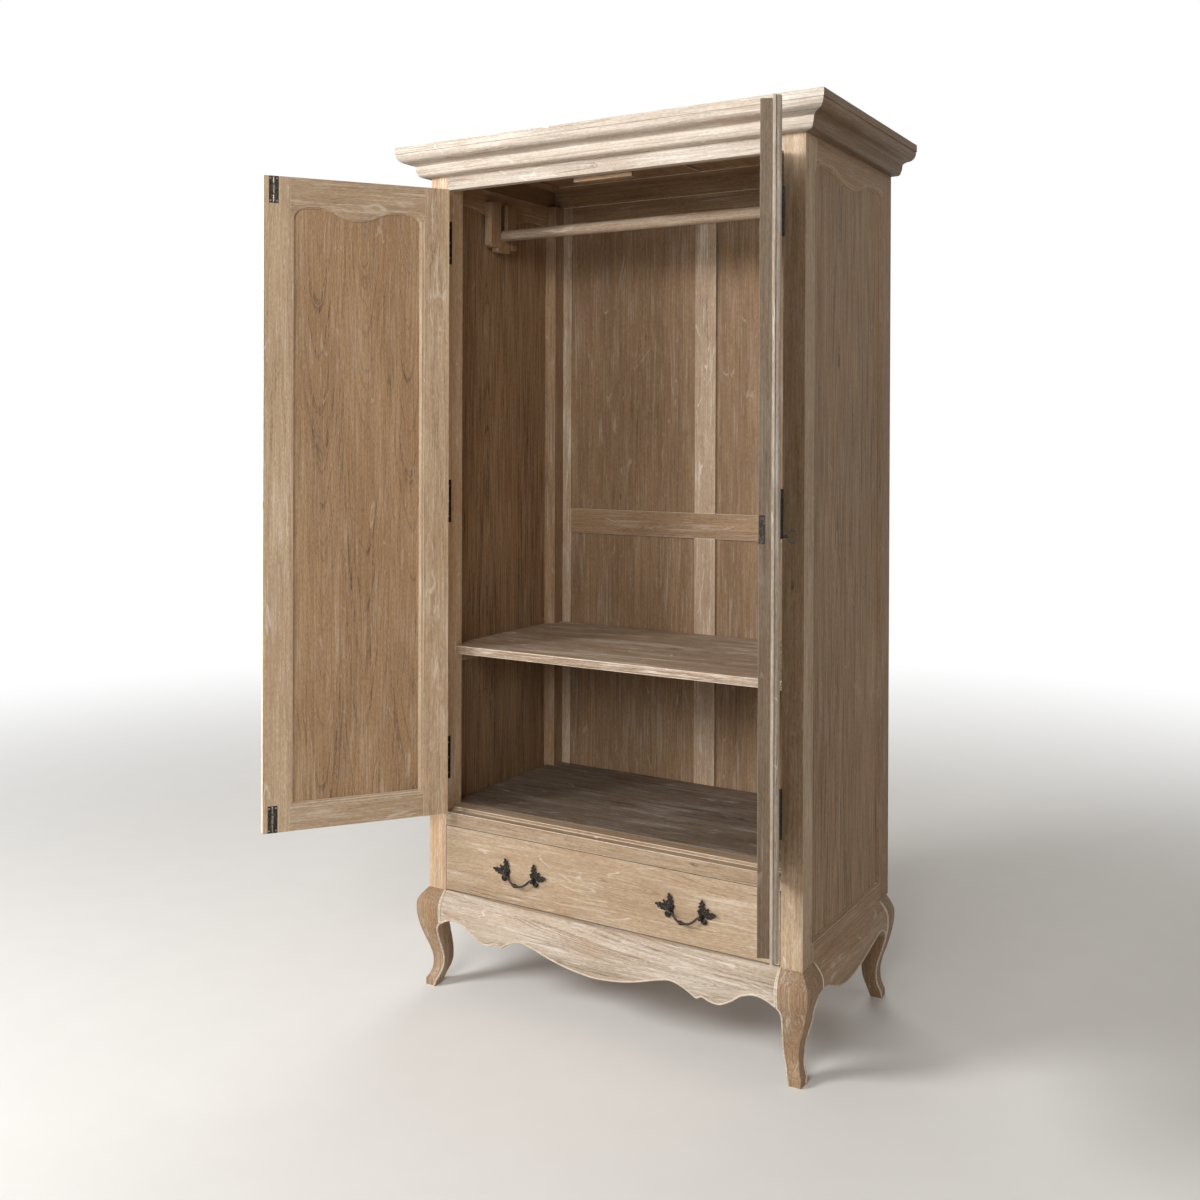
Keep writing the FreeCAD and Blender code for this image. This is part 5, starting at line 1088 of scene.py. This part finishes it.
@dataclass
class Handle:
    """A bail handle: two leaf mounts and a swinging bail with a knot, in metres and degrees."""

    side: str
    centre: Vector
    front: float
    wire: float = 0.0024
    sweep: float = 0.034
    corner: float = 0.004
    drop: float = 0.017
    tilt: float = 20.0
    end_play: float = 0.0004
    post: float = 0.0044
    pin_share: float = 1.5
    pin_start: float = 0.001
    knot: float = 0.0042
    knot_lean: float = 11.0
    knot_reach: float = 9.0
    knot_top: float = -0.004
    collar: float = 0.0009
    collar_reach: float = 1.6
    collar_places: Triple = (-12.0, 12.0, 0.0)
    curl_centre: Triple = (-0.0075, -0.0024, -0.0065)
    curl_radius: float = 0.0070
    curl_turns: float = 1.55
    curl_slope: float = 0.00014
    curl_wires: tuple[float, float] = (0.0019, 0.0013)
    stem_ends: tuple[Triple, Triple] = ((-0.0005, -0.0024, -0.0065), (-0.001, -0.003, 0.006))
    rose: tuple[tuple[float, float], ...] = ((0.0068, 0.0), (0.0068, 0.0012), (0.0052, 0.0026))
    neck: float = 0.004
    tip: tuple[tuple[float, float], ...] = ((1.0, 0.0016), (0.8, 0.0004), (0.35, 0.0))
    tip_radius: float = 0.00005
    sides: int = 10
    curl_steps: int = 46
    stem_steps: int = 10
    bend_steps: int = 9
    sweep_steps: int = 61
    leaves: tuple[Leaf, ...] = (
        Leaf((0.001, 0.003), 97.0, 0.037, 0.017, 0.004),
        Leaf((-0.004, 0.002), 161.0, 0.034, 0.016, 0.005),
        Leaf((-0.003, 0.004), 129.0, 0.024, 0.010, 0.003, 3.0),
        Leaf((0.001, 0.002), 62.0, 0.015, 0.008, 0.003, 2.0),
    )

    def half(self) -> float:
        """Half the distance between the bail's two bends."""
        reach = self.sweep + self.corner
        return math.sqrt(reach ** 2 - (reach - self.drop) ** 2)

    def scroll(self) -> list[Surface]:
        """Model the curled stem under the leaves.

        The curl is a flat spiral: at angle a its radius is curl_radius * (1 - a / 2 turns), and
        it comes forward by the slope times a.

        Returns:
            The curl, and the stem that it ends.
        """
        turn = np.linspace(0.0, self.curl_turns * math.tau, self.curl_steps)
        reach = self.curl_radius * (1 - turn / (2.0 * math.tau))
        parts = (reach * np.cos(turn), -self.curl_slope * turn, -reach * np.sin(turn))
        curl = np.stack(parts, axis=-1) + np.array(self.curl_centre)
        wide, narrow = self.curl_wires
        forward = Way.INWARD.value
        stem = np.linspace(*self.stem_ends, self.stem_steps)
        return [
            tube(curl, wide + (narrow - wide) * turn / turn[-1], forward, self.sides),
            tube(stem, self.wire, forward, self.sides),
        ]

    def mount(self) -> list[Surface]:
        """Model the left mount round its post: leaves, a curled stem and the post with its rose.

        Returns:
            Its surfaces, with the foot of the post at the origin.
        """
        end = self.front - self.centre.y + self.post
        shaft = [(self.post * share, end - back) for share, back in self.tip]
        post = lathed((*self.rose, (self.post, self.neck), *shaft, (self.tip_radius, end)))
        forward = post.moved(Matrix.Rotation(math.pi / 2, 4, "X"))
        return [*(leaf.surface() for leaf in self.leaves), *self.scroll(), forward]

    def placed_mounts(self) -> list[Surface]:
        """Place the left mount and its mirror image on the drawer front.

        Returns:
            The surfaces of both mounts.
        """
        reach = self.half() + self.end_play + self.post
        left = Matrix.Translation((self.centre.x - reach, self.front, self.centre.z))
        right = Matrix.Translation((self.centre.x + reach, self.front, self.centre.z))
        right = right @ Matrix.Scale(-1, 4, (1, 0, 0))
        return [surface.moved(place) for place in (left, right) for surface in self.mount()]

    def bail(self) -> list[Surface]:
        """Model the bail: a bend at each end, one long sweep between, and a collared knot.

        The knot swells by (1 - (d / reach) ** 2) ** 0.6 at d degrees from its middle, and each
        collar by exp(-((d - place) / reach) ** 2).

        Returns:
            The bail, hung as it rests.
        """
        half = self.half()
        lean = math.asin(half / (self.sweep + self.corner))
        bend = np.linspace(0.0, lean, self.bend_steps)[:-1]
        swing = np.linspace(lean, -lean, self.sweep_steps)
        corner = np.stack(
            (-half + self.corner * np.sin(bend), bend * 0, self.corner * (np.cos(bend) - 1)), axis=-1
        )
        height = self.sweep * (1 - np.cos(swing)) - self.drop
        sweep = np.stack((-self.sweep * np.sin(swing), swing * 0, height), axis=-1)
        pin_end = -half - self.end_play - self.post * self.pin_share
        pin = np.array(((pin_end, 0.0, 0.0), (-half - self.pin_start, 0.0, 0.0)))
        mirror = np.array((-1.0, 1.0, 1.0))
        path = np.concatenate((pin, corner, sweep, corner[::-1] * mirror, pin[::-1] * mirror))
        from_middle = np.arctan2(-path[:, 0], self.sweep - self.drop - path[:, 2])
        away = np.degrees(from_middle) - self.knot_lean
        swelling = np.clip(1 - (away / self.knot_reach) ** 2, 0, 1) ** 0.6 * (self.knot - self.wire)
        collars = self.collar * sum(
            np.exp(-(((away - place) / self.collar_reach) ** 2)) for place in self.collar_places
        )
        radii = self.wire + np.where(path[:, 2] < self.knot_top, swelling + collars, 0.0)
        hung = Matrix.Translation(self.centre) @ Matrix.Rotation(math.radians(-self.tilt), 4, "X")
        return [tube(path, radii, Way.INWARD.value).moved(hung)]


@dataclass(frozen=True)
class DoorPlace:
    """Turns places on a closed door into the row frame, as the door stands at rest."""

    hinge: Vector
    side: float
    angle: float

    def at(self, along: float, behind: float, level: float) -> Vector:
        """Return the place that far from the hinge line, that far behind it and that high."""
        turned = self.facing((-self.side * along, behind, 0.0))
        return Vector((self.hinge.x, self.hinge.y, level)) + turned

    def facing(self, closed: Triple) -> Vector:
        """Return where a direction of the closed door looks now."""
        return Matrix.Rotation(self.angle, 3, "Z") @ Vector(closed)


def screw(place: Vector, facing: Vector, radius: float, turn: float, rise: float = 0.1) -> Surface:
    """Model a slotted screw head.

    Its height at distance r from its middle is rise * radius * sqrt(1 - 0.8 * (r / radius) ** 2),
    less the slot, which is 0.7 of rise * radius deep and fades with
    exp(-(y / (0.16 * radius)) ** 4) beside its line.

    Args:
        place: Middle of its seat.
        facing: Where it looks.
        radius: Radius of the head.
        turn: Turn of its slot.
        rise: How far it stands out, as a share of its radius.

    Returns:
        The head.
    """
    rings, sides = 9, 28
    angles = np.arange(sides) * math.tau / sides
    reach, angle = np.meshgrid(np.linspace(0.001, 1.0, rings), angles, indexing="ij")
    x, y = radius * reach * np.cos(angle), radius * reach * np.sin(angle)
    slot = 0.7 * np.exp(-((y / (radius * 0.16)) ** 4))
    height = radius * rise * (np.sqrt(1 - 0.8 * reach ** 2) - slot)
    skirt = np.stack((x[-1:], y[-1:], -radius * 0.1 + 0 * x[-1:]), axis=-1)
    points = np.concatenate((np.stack((x, y, height), axis=-1), skirt))
    axis = facing.to_track_quat("Z", "Y").to_matrix().to_4x4()
    seated = Matrix.Translation(place) @ axis @ Matrix.Rotation(turn, 4, "Z")
    return Surface(points, closed_across=True, capped=True).moved(seated)


@dataclass
class Screws:
    """Screw heads in the hinges' leaves, three to a leaf."""

    hinge_shares: tuple[float, ...] = (0.084, 0.500, 0.918)
    hinge_pitch: float = 0.036
    leaf_middle: float = 0.0138
    seat: float = 0.0006
    head: float = 0.00306
    door_turn: float = 0.7
    post_turn: float = 1.1

    def levels(self) -> list[float]:
        """Work out how high a hinge side's nine screws sit.

        Returns:
            The heights, from the lowest screw up.
        """
        low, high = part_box("left_door_hinge_stile")
        middles = [low.z + share * (high.z - low.z) for share in self.hinge_shares]
        return [middle + step * self.hinge_pitch for middle in middles for step in (-1, 0, 1)]

    def on_door(self, place: DoorPlace) -> list[Surface]:
        """Drive screws through the leaves on a door's edge.

        Args:
            place: Where the door stands.

        Returns:
            The heads.
        """
        facing = place.facing((place.side, 0.0, 0.0))
        return [
            screw(place.at(self.seat, self.leaf_middle, level), facing, self.head, self.door_turn * number)
            for number, level in enumerate(self.levels())
        ]

    def on_post(self, place: DoorPlace) -> list[Surface]:
        """Drive screws through the leaves on the post that a door hangs on.

        Args:
            place: Where the door stands.

        Returns:
            The heads.
        """
        x, y = place.hinge.x + place.side * self.seat, place.hinge.y + self.leaf_middle
        facing = Vector((-place.side, 0.0, 0.0))
        return [
            screw(Vector((x, y, level)), facing, self.head, self.post_turn * number)
            for number, level in enumerate(self.levels())
        ]


@dataclass
class BoltTrim:
    """The rubbed rod down the middle of each flush bolt's case, and the case's screws."""

    along: float = 0.4059
    behind: float = 0.0268
    length: float = 0.061
    margin: float = 0.0015
    slot: tuple[float, float] = (0.0182, 0.0410)
    radius: float = 0.0026
    sunk: float = 0.0018
    screw_reach: tuple[float, float] = (0.0075, 0.0055)
    screw_head: float = 0.0021
    screw_rise: float = 0.2
    turn_per_metre: float = 9.0
    rings: int = 8
    sides: int = 12

    def lay(self, place: DoorPlace, low: float, high: float) -> list[Surface]:
        """Lay two rods and four screws on each case.

        Args:
            place: Where the door stands.
            low: Foot of the lower case.
            high: Top of the upper case.

        Returns:
            The surfaces.
        """
        inner, pieces = place.facing(Way.INWARD.value), []
        reach, inset = self.screw_reach
        spans = ((self.margin, self.slot[0]), (self.slot[1], self.length - self.margin))
        for end, away in ((low, 1.0), (high, -1.0)):
            for start, stop in spans:
                levels = end + away * np.linspace(start, stop, self.rings)
                path = [place.at(self.along, self.behind - self.sunk, level) for level in levels]
                pieces.append(tube(np.array(path), self.radius, tuple(inner), self.sides))
            for step in (inset, self.length - inset):
                for aside in (-reach, reach):
                    seat = place.at(self.along + aside, self.behind, end + away * step)
                    turn = self.turn_per_metre * step + aside
                    pieces.append(screw(seat, inner, self.screw_head, turn, self.screw_rise))
        return pieces


@dataclass
class Beads:
    """The fine bead that follows the lower edges of the aprons and runs down the legs."""

    radius: float = 0.0022
    inset: float = 0.0020
    step: float = 0.004
    fewest_steps: int = 12
    fewest_points: int = 4
    sides: int = 10

    def lay(
        self, name: str, node: bpy.types.Object, face: Triple, turned: Triple, least: float
    ) -> Surface | None:
        """Model the bead along one rim of a board.

        The rim is laid out anew at even steps and smoothed once, and the bead's middle is drawn
        back from it into the face by the inset.

        Args:
            name: The board's name.
            node: The board.
            face: Where the beaded face looks.
            turned: Where the side over the rim looks.
            least: Least dot product between that side's normal and that direction.

        Returns:
            The bead, or nothing where the board has no such rim.
        """
        path = rim(node, face, turned, least)
        if len(path) < self.fewest_points:
            LOG.warning("%s: no rim found", name)
            return None
        length = np.concatenate(((0.0,), np.cumsum(np.linalg.norm(np.diff(path, axis=0), axis=1))))
        count = max(self.fewest_steps, int(length[-1] / self.step))
        steps = np.linspace(0.0, length[-1], count)
        path = np.stack([np.interp(steps, length, path[:, axis]) for axis in range(3)], axis=-1)
        soft = path.copy()
        soft[1:-1] = (path[:-2] + 2 * path[1:-1] + path[2:]) / 4
        into = np.cross(unit(np.gradient(soft, axis=0)), np.array(face))
        into *= -np.sign(into @ np.array(turned) + 1e-9)[:, None]
        return tube(soft + into * self.inset, self.radius, face, self.sides)


# Sub-assemblies


@dataclass
class Base:
    """Cabriole legs and shaped aprons."""

    leg_tone: float = 0.76
    rear_tone: float = 0.70
    side_tone: float = 0.80
    front_tone: float = 0.92
    # Widths of the eased edges, which the edge oak paints lighter: partly wear, partly a painted highlight.
    worn_edge: float = 0.0022
    plain_edge: float = 0.0016
    over_apron: float = -0.2
    over_leg: float = 0.5

    def dress(self, dresser: Dresser) -> None:
        """Give the legs upright oak and the aprons oak that runs with their length.

        Args:
            dresser: Puts finishes on the frame's nodes.
        """
        for side in SIDES:
            front_leg = upright(tone=self.leg_tone, lime=1.3)
            dresser.board(f"front_{side}_leg", LEG, front_leg, self.worn_edge)
            dresser.board(f"rear_{side}_leg", LEG, upright(tone=self.rear_tone), self.plain_edge)
            dresser.board(f"{side}_apron", LEG, inward(tone=self.side_tone, lime=1.2), self.plain_edge)
        front_apron = lengthwise(pith_depth=0.03, tone=self.front_tone)
        dresser.board("front_apron", APRON, front_apron, self.worn_edge)
        dresser.board("back_apron", INNER, lengthwise())

    def build(self, dresser: Dresser) -> None:
        """Lay the beads along the aprons and down the legs.

        Args:
            dresser: Puts finishes on the frame's nodes.
        """
        beads, nodes = Beads(), dresser.nodes
        front, rear, down = Facing.FRONT.value, (0.0, 1.0, 0.0), (0.0, 0.0, -1.0)
        runs = [("front_apron", front, down, self.over_apron)]
        for side, outward in zip(SIDES, (-1.0, 1.0)):
            outer, inner = (outward, 0.0, 0.0), (-outward, 0.0, 0.0)
            runs.append((f"{side}_apron", outer, down, self.over_apron))
            runs.append((f"front_{side}_leg", front, inner, self.over_leg))
            runs.append((f"front_{side}_leg", outer, rear, self.over_leg))
            runs.append((f"rear_{side}_leg", outer, front, self.over_leg))
        # The beads get the lighter edge oak: partly wear, partly a painted highlight along each bead.
        material = dresser.shop.plank(EDGE, lengthwise(tone=self.front_tone), Vector(), "bead")
        surfaces = [beads.lay(name, nodes[name], *place) for name, *place in runs]
        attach(joined("base_beads", [surface for surface in surfaces if surface], material), "carcass")


@dataclass
class Carcass:
    """Posts, rails, panels, boards and inner fittings."""

    rail_band: float = 0.09
    muntin_band: float = 0.05
    rail_reach: float = 0.01
    groove: float = 0.0095
    moulded_edge: float = 0.0024
    board_edge: float = 0.0018
    rail_edge: float = 0.0010
    rod_edge: float = 0.0006
    panel_tones: tuple[float, float] = (0.82, 0.95)
    post_tones: tuple[float, float] = (1.4, 1.12)

    def dress(self, dresser: Dresser) -> None:
        """Give every board of the carcass its own cut.

        Args:
            dresser: Puts finishes on the frame's nodes.
        """
        board, top = dresser.board, Facing.TOP.value
        for side, post_tone, panel_tone in zip(SIDES, self.post_tones, self.panel_tones):
            board(f"front_{side}_post", LIMED, upright(tone=post_tone))
            board(f"rear_{side}_post", LEG, upright(tone=0.70))
            # The side rails' moulded edges get the edge oak at 1.9 times the tone: partly rubbed lime,
            # partly a painted highlight on the moulding.
            board(f"{side}_side_rails", LEG, inward(tone=0.82), self.moulded_edge, edge_tone=1.9)
            panel = upright(Facing.SIDE.value, pith_shift=0.06, tone=panel_tone)
            board(f"{side}_side_panel", SIDE, panel)
        board("frieze_rail", CORNICE, lengthwise(pith_depth=0.09, tone=0.88))
        drawer_rail = lengthwise(pith_depth=0.08, tone=0.78)
        board("drawer_rail", LIMED, drawer_rail, self.rail_edge, edge_tone=1.3)
        # The deck's oak is at about half the shelf's tone: painted shade of the lower compartment.
        board("deck", BOARDS, lengthwise(top, pith_depth=0.12, tone=0.48))
        board("shelf", BOARDS, lengthwise(top, pith_depth=0.1), self.board_edge)
        board("board_battens", INNER, inward())
        board("drawer_runners", INNER, inward())
        board("hanging_rail", FRAMED, lengthwise(tone=0.70), self.rod_edge)
        board("rail_brackets", INNER, upright(Facing.SIDE.value))
        board("door_stop_block", INNER, lengthwise(tone=0.8))
        board("back_panels", INNER, upright(pith_depth=0.07, tone=0.82))
        cuts = (upright(tone=0.9), lengthwise(tone=0.66))
        dresser.crossed("back_frame", (FRAMED, LEG), cuts, self.back_rails(dresser))
        dresser.crossed("top_frame", (INNER, INNER), (lengthwise(top), inward(top)), self.top_ends(dresser))
        board("ceiling_panels", INNER, inward(top))

    def back_rails(self, dresser: Dresser) -> np.ndarray:
        """Tell which polygons of the back's frame lie on its rails.

        Args:
            dresser: Knows the frame's nodes.

        Returns:
            For each polygon, whether it does.
        """
        x, _, z = dresser.faces("back_frame", "center").T
        low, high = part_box("back_frame")
        panels_low, panels_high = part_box("back_panels")
        between = (x > panels_low.x) & (x < panels_high.x)
        ends = (z > panels_high.z - self.rail_reach) | (z < panels_low.z + self.rail_reach)
        return between & (ends | (np.abs(z - (low.z + high.z) / 2) < self.rail_band / 2))

    def top_ends(self, dresser: Dresser) -> np.ndarray:
        """Tell which polygons of the ceiling's frame lie on its end rails or its muntin.

        Args:
            dresser: Knows the frame's nodes.

        Returns:
            For each polygon, whether it does.
        """
        x, y, _ = dresser.faces("top_frame", "center").T
        low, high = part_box("ceiling_panels")
        across = np.abs(x - (low.x + high.x) / 2)
        within = (y > low.y + self.groove) & (y < high.y - self.groove)
        return (across > (high.x - low.x) / 2 - self.groove) | (within & (across < self.muntin_band / 2))

    def build(self, dresser: Dresser, places: Sequence[DoorPlace]) -> None:
        """Fit the hinge leaves on the posts, with their screws.

        Args:
            dresser: Gives the iron.
            places: Where the doors hang.
        """
        dresser.metal("post_hinge_leaves")
        heads = [head for place in places for head in Screws().on_post(place)]
        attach(joined("post_screws", heads, dresser.steel), "carcass")


@dataclass
class Cornice:
    """Moulded cornice, mitred at the front corners."""

    edge: float = 0.0016
    front_tone: float = 0.98
    side_tone: float = 0.50
    pith_depth: float = 0.1

    def dress(self, dresser: Dresser) -> None:
        """Give the front moulding pale oak, and the sides darker oak painted as shade, all running with
        their length.

        Args:
            dresser: Puts finishes on the frame's nodes.
        """
        front = lengthwise(pith_depth=self.pith_depth, tone=self.front_tone)
        dresser.board("cornice_front", CORNICE, front, self.edge)
        for side in SIDES:
            # The sides, their edges too, are painted darker at half tone: painted shade.
            cut = inward(pith_depth=self.pith_depth, tone=self.side_tone)
            dresser.board(f"cornice_{side}", LEG, cut, self.edge, self.side_tone)


@dataclass
class Door:
    """One frame-and-panel door, dressed in its own turned directions."""

    side: str
    place: DoorPlace
    tone: float
    meeting_tone: float
    rail_share: float = 0.88
    panel_tone: float = 1.02
    astragal_tone: float = 0.75
    astragal_edge: float = 0.0018

    def dress(self, dresser: Dresser) -> None:
        """Give stiles and panel upright oak, and the rails oak that runs across the door.

        Args:
            dresser: Puts finishes on the frame's nodes.
        """
        width = tuple(self.place.facing(Way.ACROSS.value))
        outer = tuple(self.place.facing(Facing.FRONT.value))
        name = f"{self.side}_door"
        stile = upright(outer, tone=self.tone)
        dresser.board(f"{name}_hinge_stile", LIMED, stile)
        meeting = f"{name}_meeting_stile"
        on_edge = dresser.faces(meeting, "normal") @ np.array(width) * -self.place.side > 0.9
        # The left door's meeting edge gets the lighter edge oak at its raised meeting tone: a painted
        # highlight of window light.
        finishes = (LIMED, EDGE if self.side == "left" else LIMED)
        dresser.crossed(meeting, finishes, (stile, upright(outer, tone=self.meeting_tone)), on_edge)
        for rail in ("top_rail", "bottom_rail"):
            cut = Cut(width, outer, tone=self.tone * self.rail_share, pith_depth=0.08)
            dresser.board(f"{name}_{rail}", LIMED, cut)
        dresser.board(f"{name}_panel", PANEL, upright(outer, pith_shift=0.02, tone=self.panel_tone))
        if self.side == "right":
            strip = upright(outer, tone=self.astragal_tone)
            # Its eased edges are half again lighter: a painted highlight on the astragal's bead.
            dresser.board(f"{name}_astragal", PALE, strip, self.astragal_edge, edge_tone=1.5)
            for fitting in ("lock_case", "lock_bolt", "key"):
                dresser.metal(f"{name}_{fitting}")
        else:
            dresser.metal(f"{name}_bolt_cases")
            for bolt in ("top_bolt", "bottom_bolt"):
                dresser.metal(f"{name}_{bolt}", dresser.steel)
        dresser.metal(f"{name}_hinge_leaves")

    def build(self, dresser: Dresser) -> None:
        """Drive the screws of the hinge leaves on the door, and trim the bolt cases.

        Args:
            dresser: Puts finishes on the frame's nodes.
        """
        body = f"{self.side}_door"
        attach(joined(f"{body}_screws", Screws().on_door(self.place), dresser.steel), body)
        if self.side == "left":
            low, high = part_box("left_door_bolt_cases")
            strips = BoltTrim().lay(self.place, low.z, high.z)
            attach(joined("bolt_case_strips", strips, dresser.steel), body)


# Tone of the boards and of the meeting edge, first for the left door and then for the right. The left
# door's boards are painted lighter, as light falling on them, and its meeting edge is painted as a bright
# highlight of window light.
DOOR_TONES = ((1.12, 1.45), (0.85, 0.34))


@dataclass
class DrawerUnit:
    """The drawer with its bail handles."""

    front_tone: float = 0.93
    box_tone: float = 1.1

    def dress(self, dresser: Dresser) -> None:
        """Give the front figured oak, the box plain oak and the handles iron.

        Args:
            dresser: Puts finishes on the frame's nodes.
        """
        front = lengthwise(pith_depth=0.022, pith_shift=0.02, tone=self.front_tone)
        dresser.board("drawer_front", FRONTAL, front)
        dresser.board("drawer_sides", INNER, inward(tone=self.box_tone))
        dresser.board("drawer_back", INNER, lengthwise(tone=self.box_tone))
        dresser.board("drawer_bottom", INNER, lengthwise(Facing.TOP.value, tone=self.box_tone))
        for node in ("handle_mounts", "left_bail", "right_bail"):
            dresser.metal(node)

    def build(self, dresser: Dresser, pivots: dict[str, Vector]) -> None:
        """Build the handles' leaf mounts and bails.

        Args:
            dresser: Gives the iron.
            pivots: Middle of each bail's hinge line, by side.
        """
        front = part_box("drawer_front")[0].y
        handles = [Handle(side, pivot, front) for side, pivot in pivots.items()]
        surfaces = [surface for handle in handles for surface in handle.placed_mounts()]
        mounts = joined("leaf_mounts", surfaces, dresser.iron)
        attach(mounts, "drawer")
        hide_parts("handle_mounts")
        for handle in handles:
            bail = joined(f"{handle.side}_bail_bar", handle.bail(), dresser.iron)
            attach(bail, f"{handle.side}_bail")
            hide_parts(f"{handle.side}_bail")


# Studio


@dataclass(frozen=True)
class Lamp:
    """One soft lamp."""

    name: str
    place: Triple
    target: Triple
    size: float
    power: float
    colour: Colour = (1.0, 0.98, 0.95)

    def light(self) -> None:
        """Hang the lamp and aim it."""
        data = bpy.data.lights.new(self.name, "AREA")
        data.shape = "DISK"
        data.size = self.size
        data.energy = self.power
        data.color = self.colour
        lamp = linked(self.name, data)
        lamp.location = self.place
        aim = Vector(self.target) - Vector(self.place)
        lamp.rotation_euler = aim.to_track_quat("-Z", "Y").to_euler()


@dataclass(frozen=True)
class Viewpoint:
    """The photograph's viewpoint: place in metres, angles in radians, lens in millimetres."""

    place: Triple = (1.5005, -2.4982, 1.3216)
    yaw: float = 0.5416
    pitch: float = 0.0053
    roll: float = 0.0035
    lens: float = 38.73
    sensor: float = 36.0
    shift: float = -0.1330
    nearest: float = 0.05

    def aim(self) -> None:
        """Set up the scene's camera."""
        data = bpy.data.cameras.new("viewpoint")
        data.sensor_width = self.sensor
        data.lens = self.lens
        data.shift_y = self.shift
        data.clip_start = self.nearest
        camera = linked("viewpoint", data)
        level = math.cos(self.pitch)
        look = Vector((-math.sin(self.yaw) * level, math.cos(self.yaw) * level, -math.sin(self.pitch)))
        turn = look.to_track_quat("-Z", "Y").to_matrix() @ Matrix.Rotation(self.roll, 3, "Z")
        camera.matrix_world = Matrix.Translation(self.place) @ turn.to_4x4()
        bpy.context.scene.camera = camera


@dataclass
class Studio:
    """Pale floor, soft lamps and white surroundings."""

    floor_radius: float = 14.0
    floor_rings: int = 12
    floor_sides: int = 64
    floor_mottle: Layer = Layer(9.0, 9.0, 5.0)
    floor_tints: tuple[Colour, Colour] = ((0.80, 0.79, 0.77), (0.84, 0.83, 0.81))
    fade_start: float = 1.6
    fade_end: float = 5.0
    ambient: float = 0.16
    ambient_tint: Colour = (1.0, 0.955, 0.90)
    lamps: tuple[Lamp, ...] = (
        Lamp("front", (-2.7, -3.3, 2.7), (0.0, 0.0, 0.9), 1.6, 165.0, WHITE),
        Lamp("fill", (0.9, -4.3, 2.6), (0.0, 0.1, 0.9), 2.2, 122.0, (1.0, 0.985, 0.965)),
        Lamp("side", (3.4, 1.0, 2.0), (0.4, 0.2, 1.0), 2.2, 6.0, (1.0, 0.88, 0.74)),
        Lamp("back", (-1.2, 3.6, 2.8), (0.0, 0.1, 0.9), 2.6, 60.0),
    )

    def surround(self) -> None:
        """Fill the world: white where it is looked at, dimmer where it lights."""
        world = bpy.data.worlds.new("studio")
        world.use_nodes = True
        bpy.context.scene.world = world
        g = Graph(world.node_tree)
        dim = g.fed("ShaderNodeBackground", self.ambient_tint, self.ambient)
        white = g.fed("ShaderNodeBackground", WHITE)
        g.show(g.fed("ShaderNodeMixShader", g.seen(), dim, white), "ShaderNodeOutputWorld")

    def floor(self) -> None:
        """Lay a round pale floor that fades to white far out.

        Its rings lie at radius * t * t for t from 0 to 1, so they are closest under the object.
        """
        turns = np.arange(self.floor_sides) * math.tau / self.floor_sides
        reach, turn = np.meshgrid(np.linspace(0.001, 1.0, self.floor_rings), turns, indexing="ij")
        radius = self.floor_radius * reach * reach
        points = np.stack((radius * np.cos(turn), radius * np.sin(turn), 0 * radius), axis=-1)
        material, g = new_material("floor")
        place = g.node("ShaderNodeTexCoord").outputs["Object"]
        distance = g.node("ShaderNodeVectorMath", operation="LENGTH")
        g.feed(distance.inputs[0], place)
        tint = g.blend(g.noise(place, self.floor_mottle), *self.floor_tints)
        matt, glow = g.fed("ShaderNodeBsdfDiffuse", tint), g.fed("ShaderNodeEmission")
        far = g.spread(distance.outputs["Value"], self.fade_start, self.fade_end)
        g.show(g.fed("ShaderNodeMixShader", g.maths("MULTIPLY", far, g.seen()), matt, glow))
        joined("floor", [Surface(points, closed_across=True)], material)

    def build(self) -> None:
        """Set up the whole studio."""
        self.surround()
        self.floor()
        for lamp in self.lamps:
            lamp.light()
        Viewpoint().aim()
        bpy.context.scene.view_settings.view_transform = "Standard"


def main() -> None:
    """Dress the wardrobe and set up the studio."""
    logging.basicConfig(level=logging.INFO, format="%(name)s: %(message)s")
    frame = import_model()
    joints = {joint["name"]: joint for joint in frame["joints"]}
    dresser = Dresser(frame["nodes"])
    doors = []
    for side, sign, tones in zip(SIDES, (-1.0, 1.0), DOOR_TONES):
        hinge = joints[f"{side}_door_hinge"]
        angle = math.radians(hinge["range_deg"][0]) * -sign
        doors.append(Door(side, DoorPlace(Vector(hinge["pos_m"]), sign, angle), *tones))
    carcass, base, drawer = Carcass(), Base(), DrawerUnit()
    carcass.dress(dresser)
    Cornice().dress(dresser)
    base.dress(dresser)
    base.build(dresser)
    drawer.dress(dresser)
    drawer.build(dresser, {side: Vector(joints[f"{side}_bail_swing"]["pos_m"]) for side in SIDES})
    for door in doors:
        door.dress(dresser)
        door.build(dresser)
    carcass.build(dresser, [door.place for door in doors])
    Studio().build()


if __name__ == "__main__":
    main()
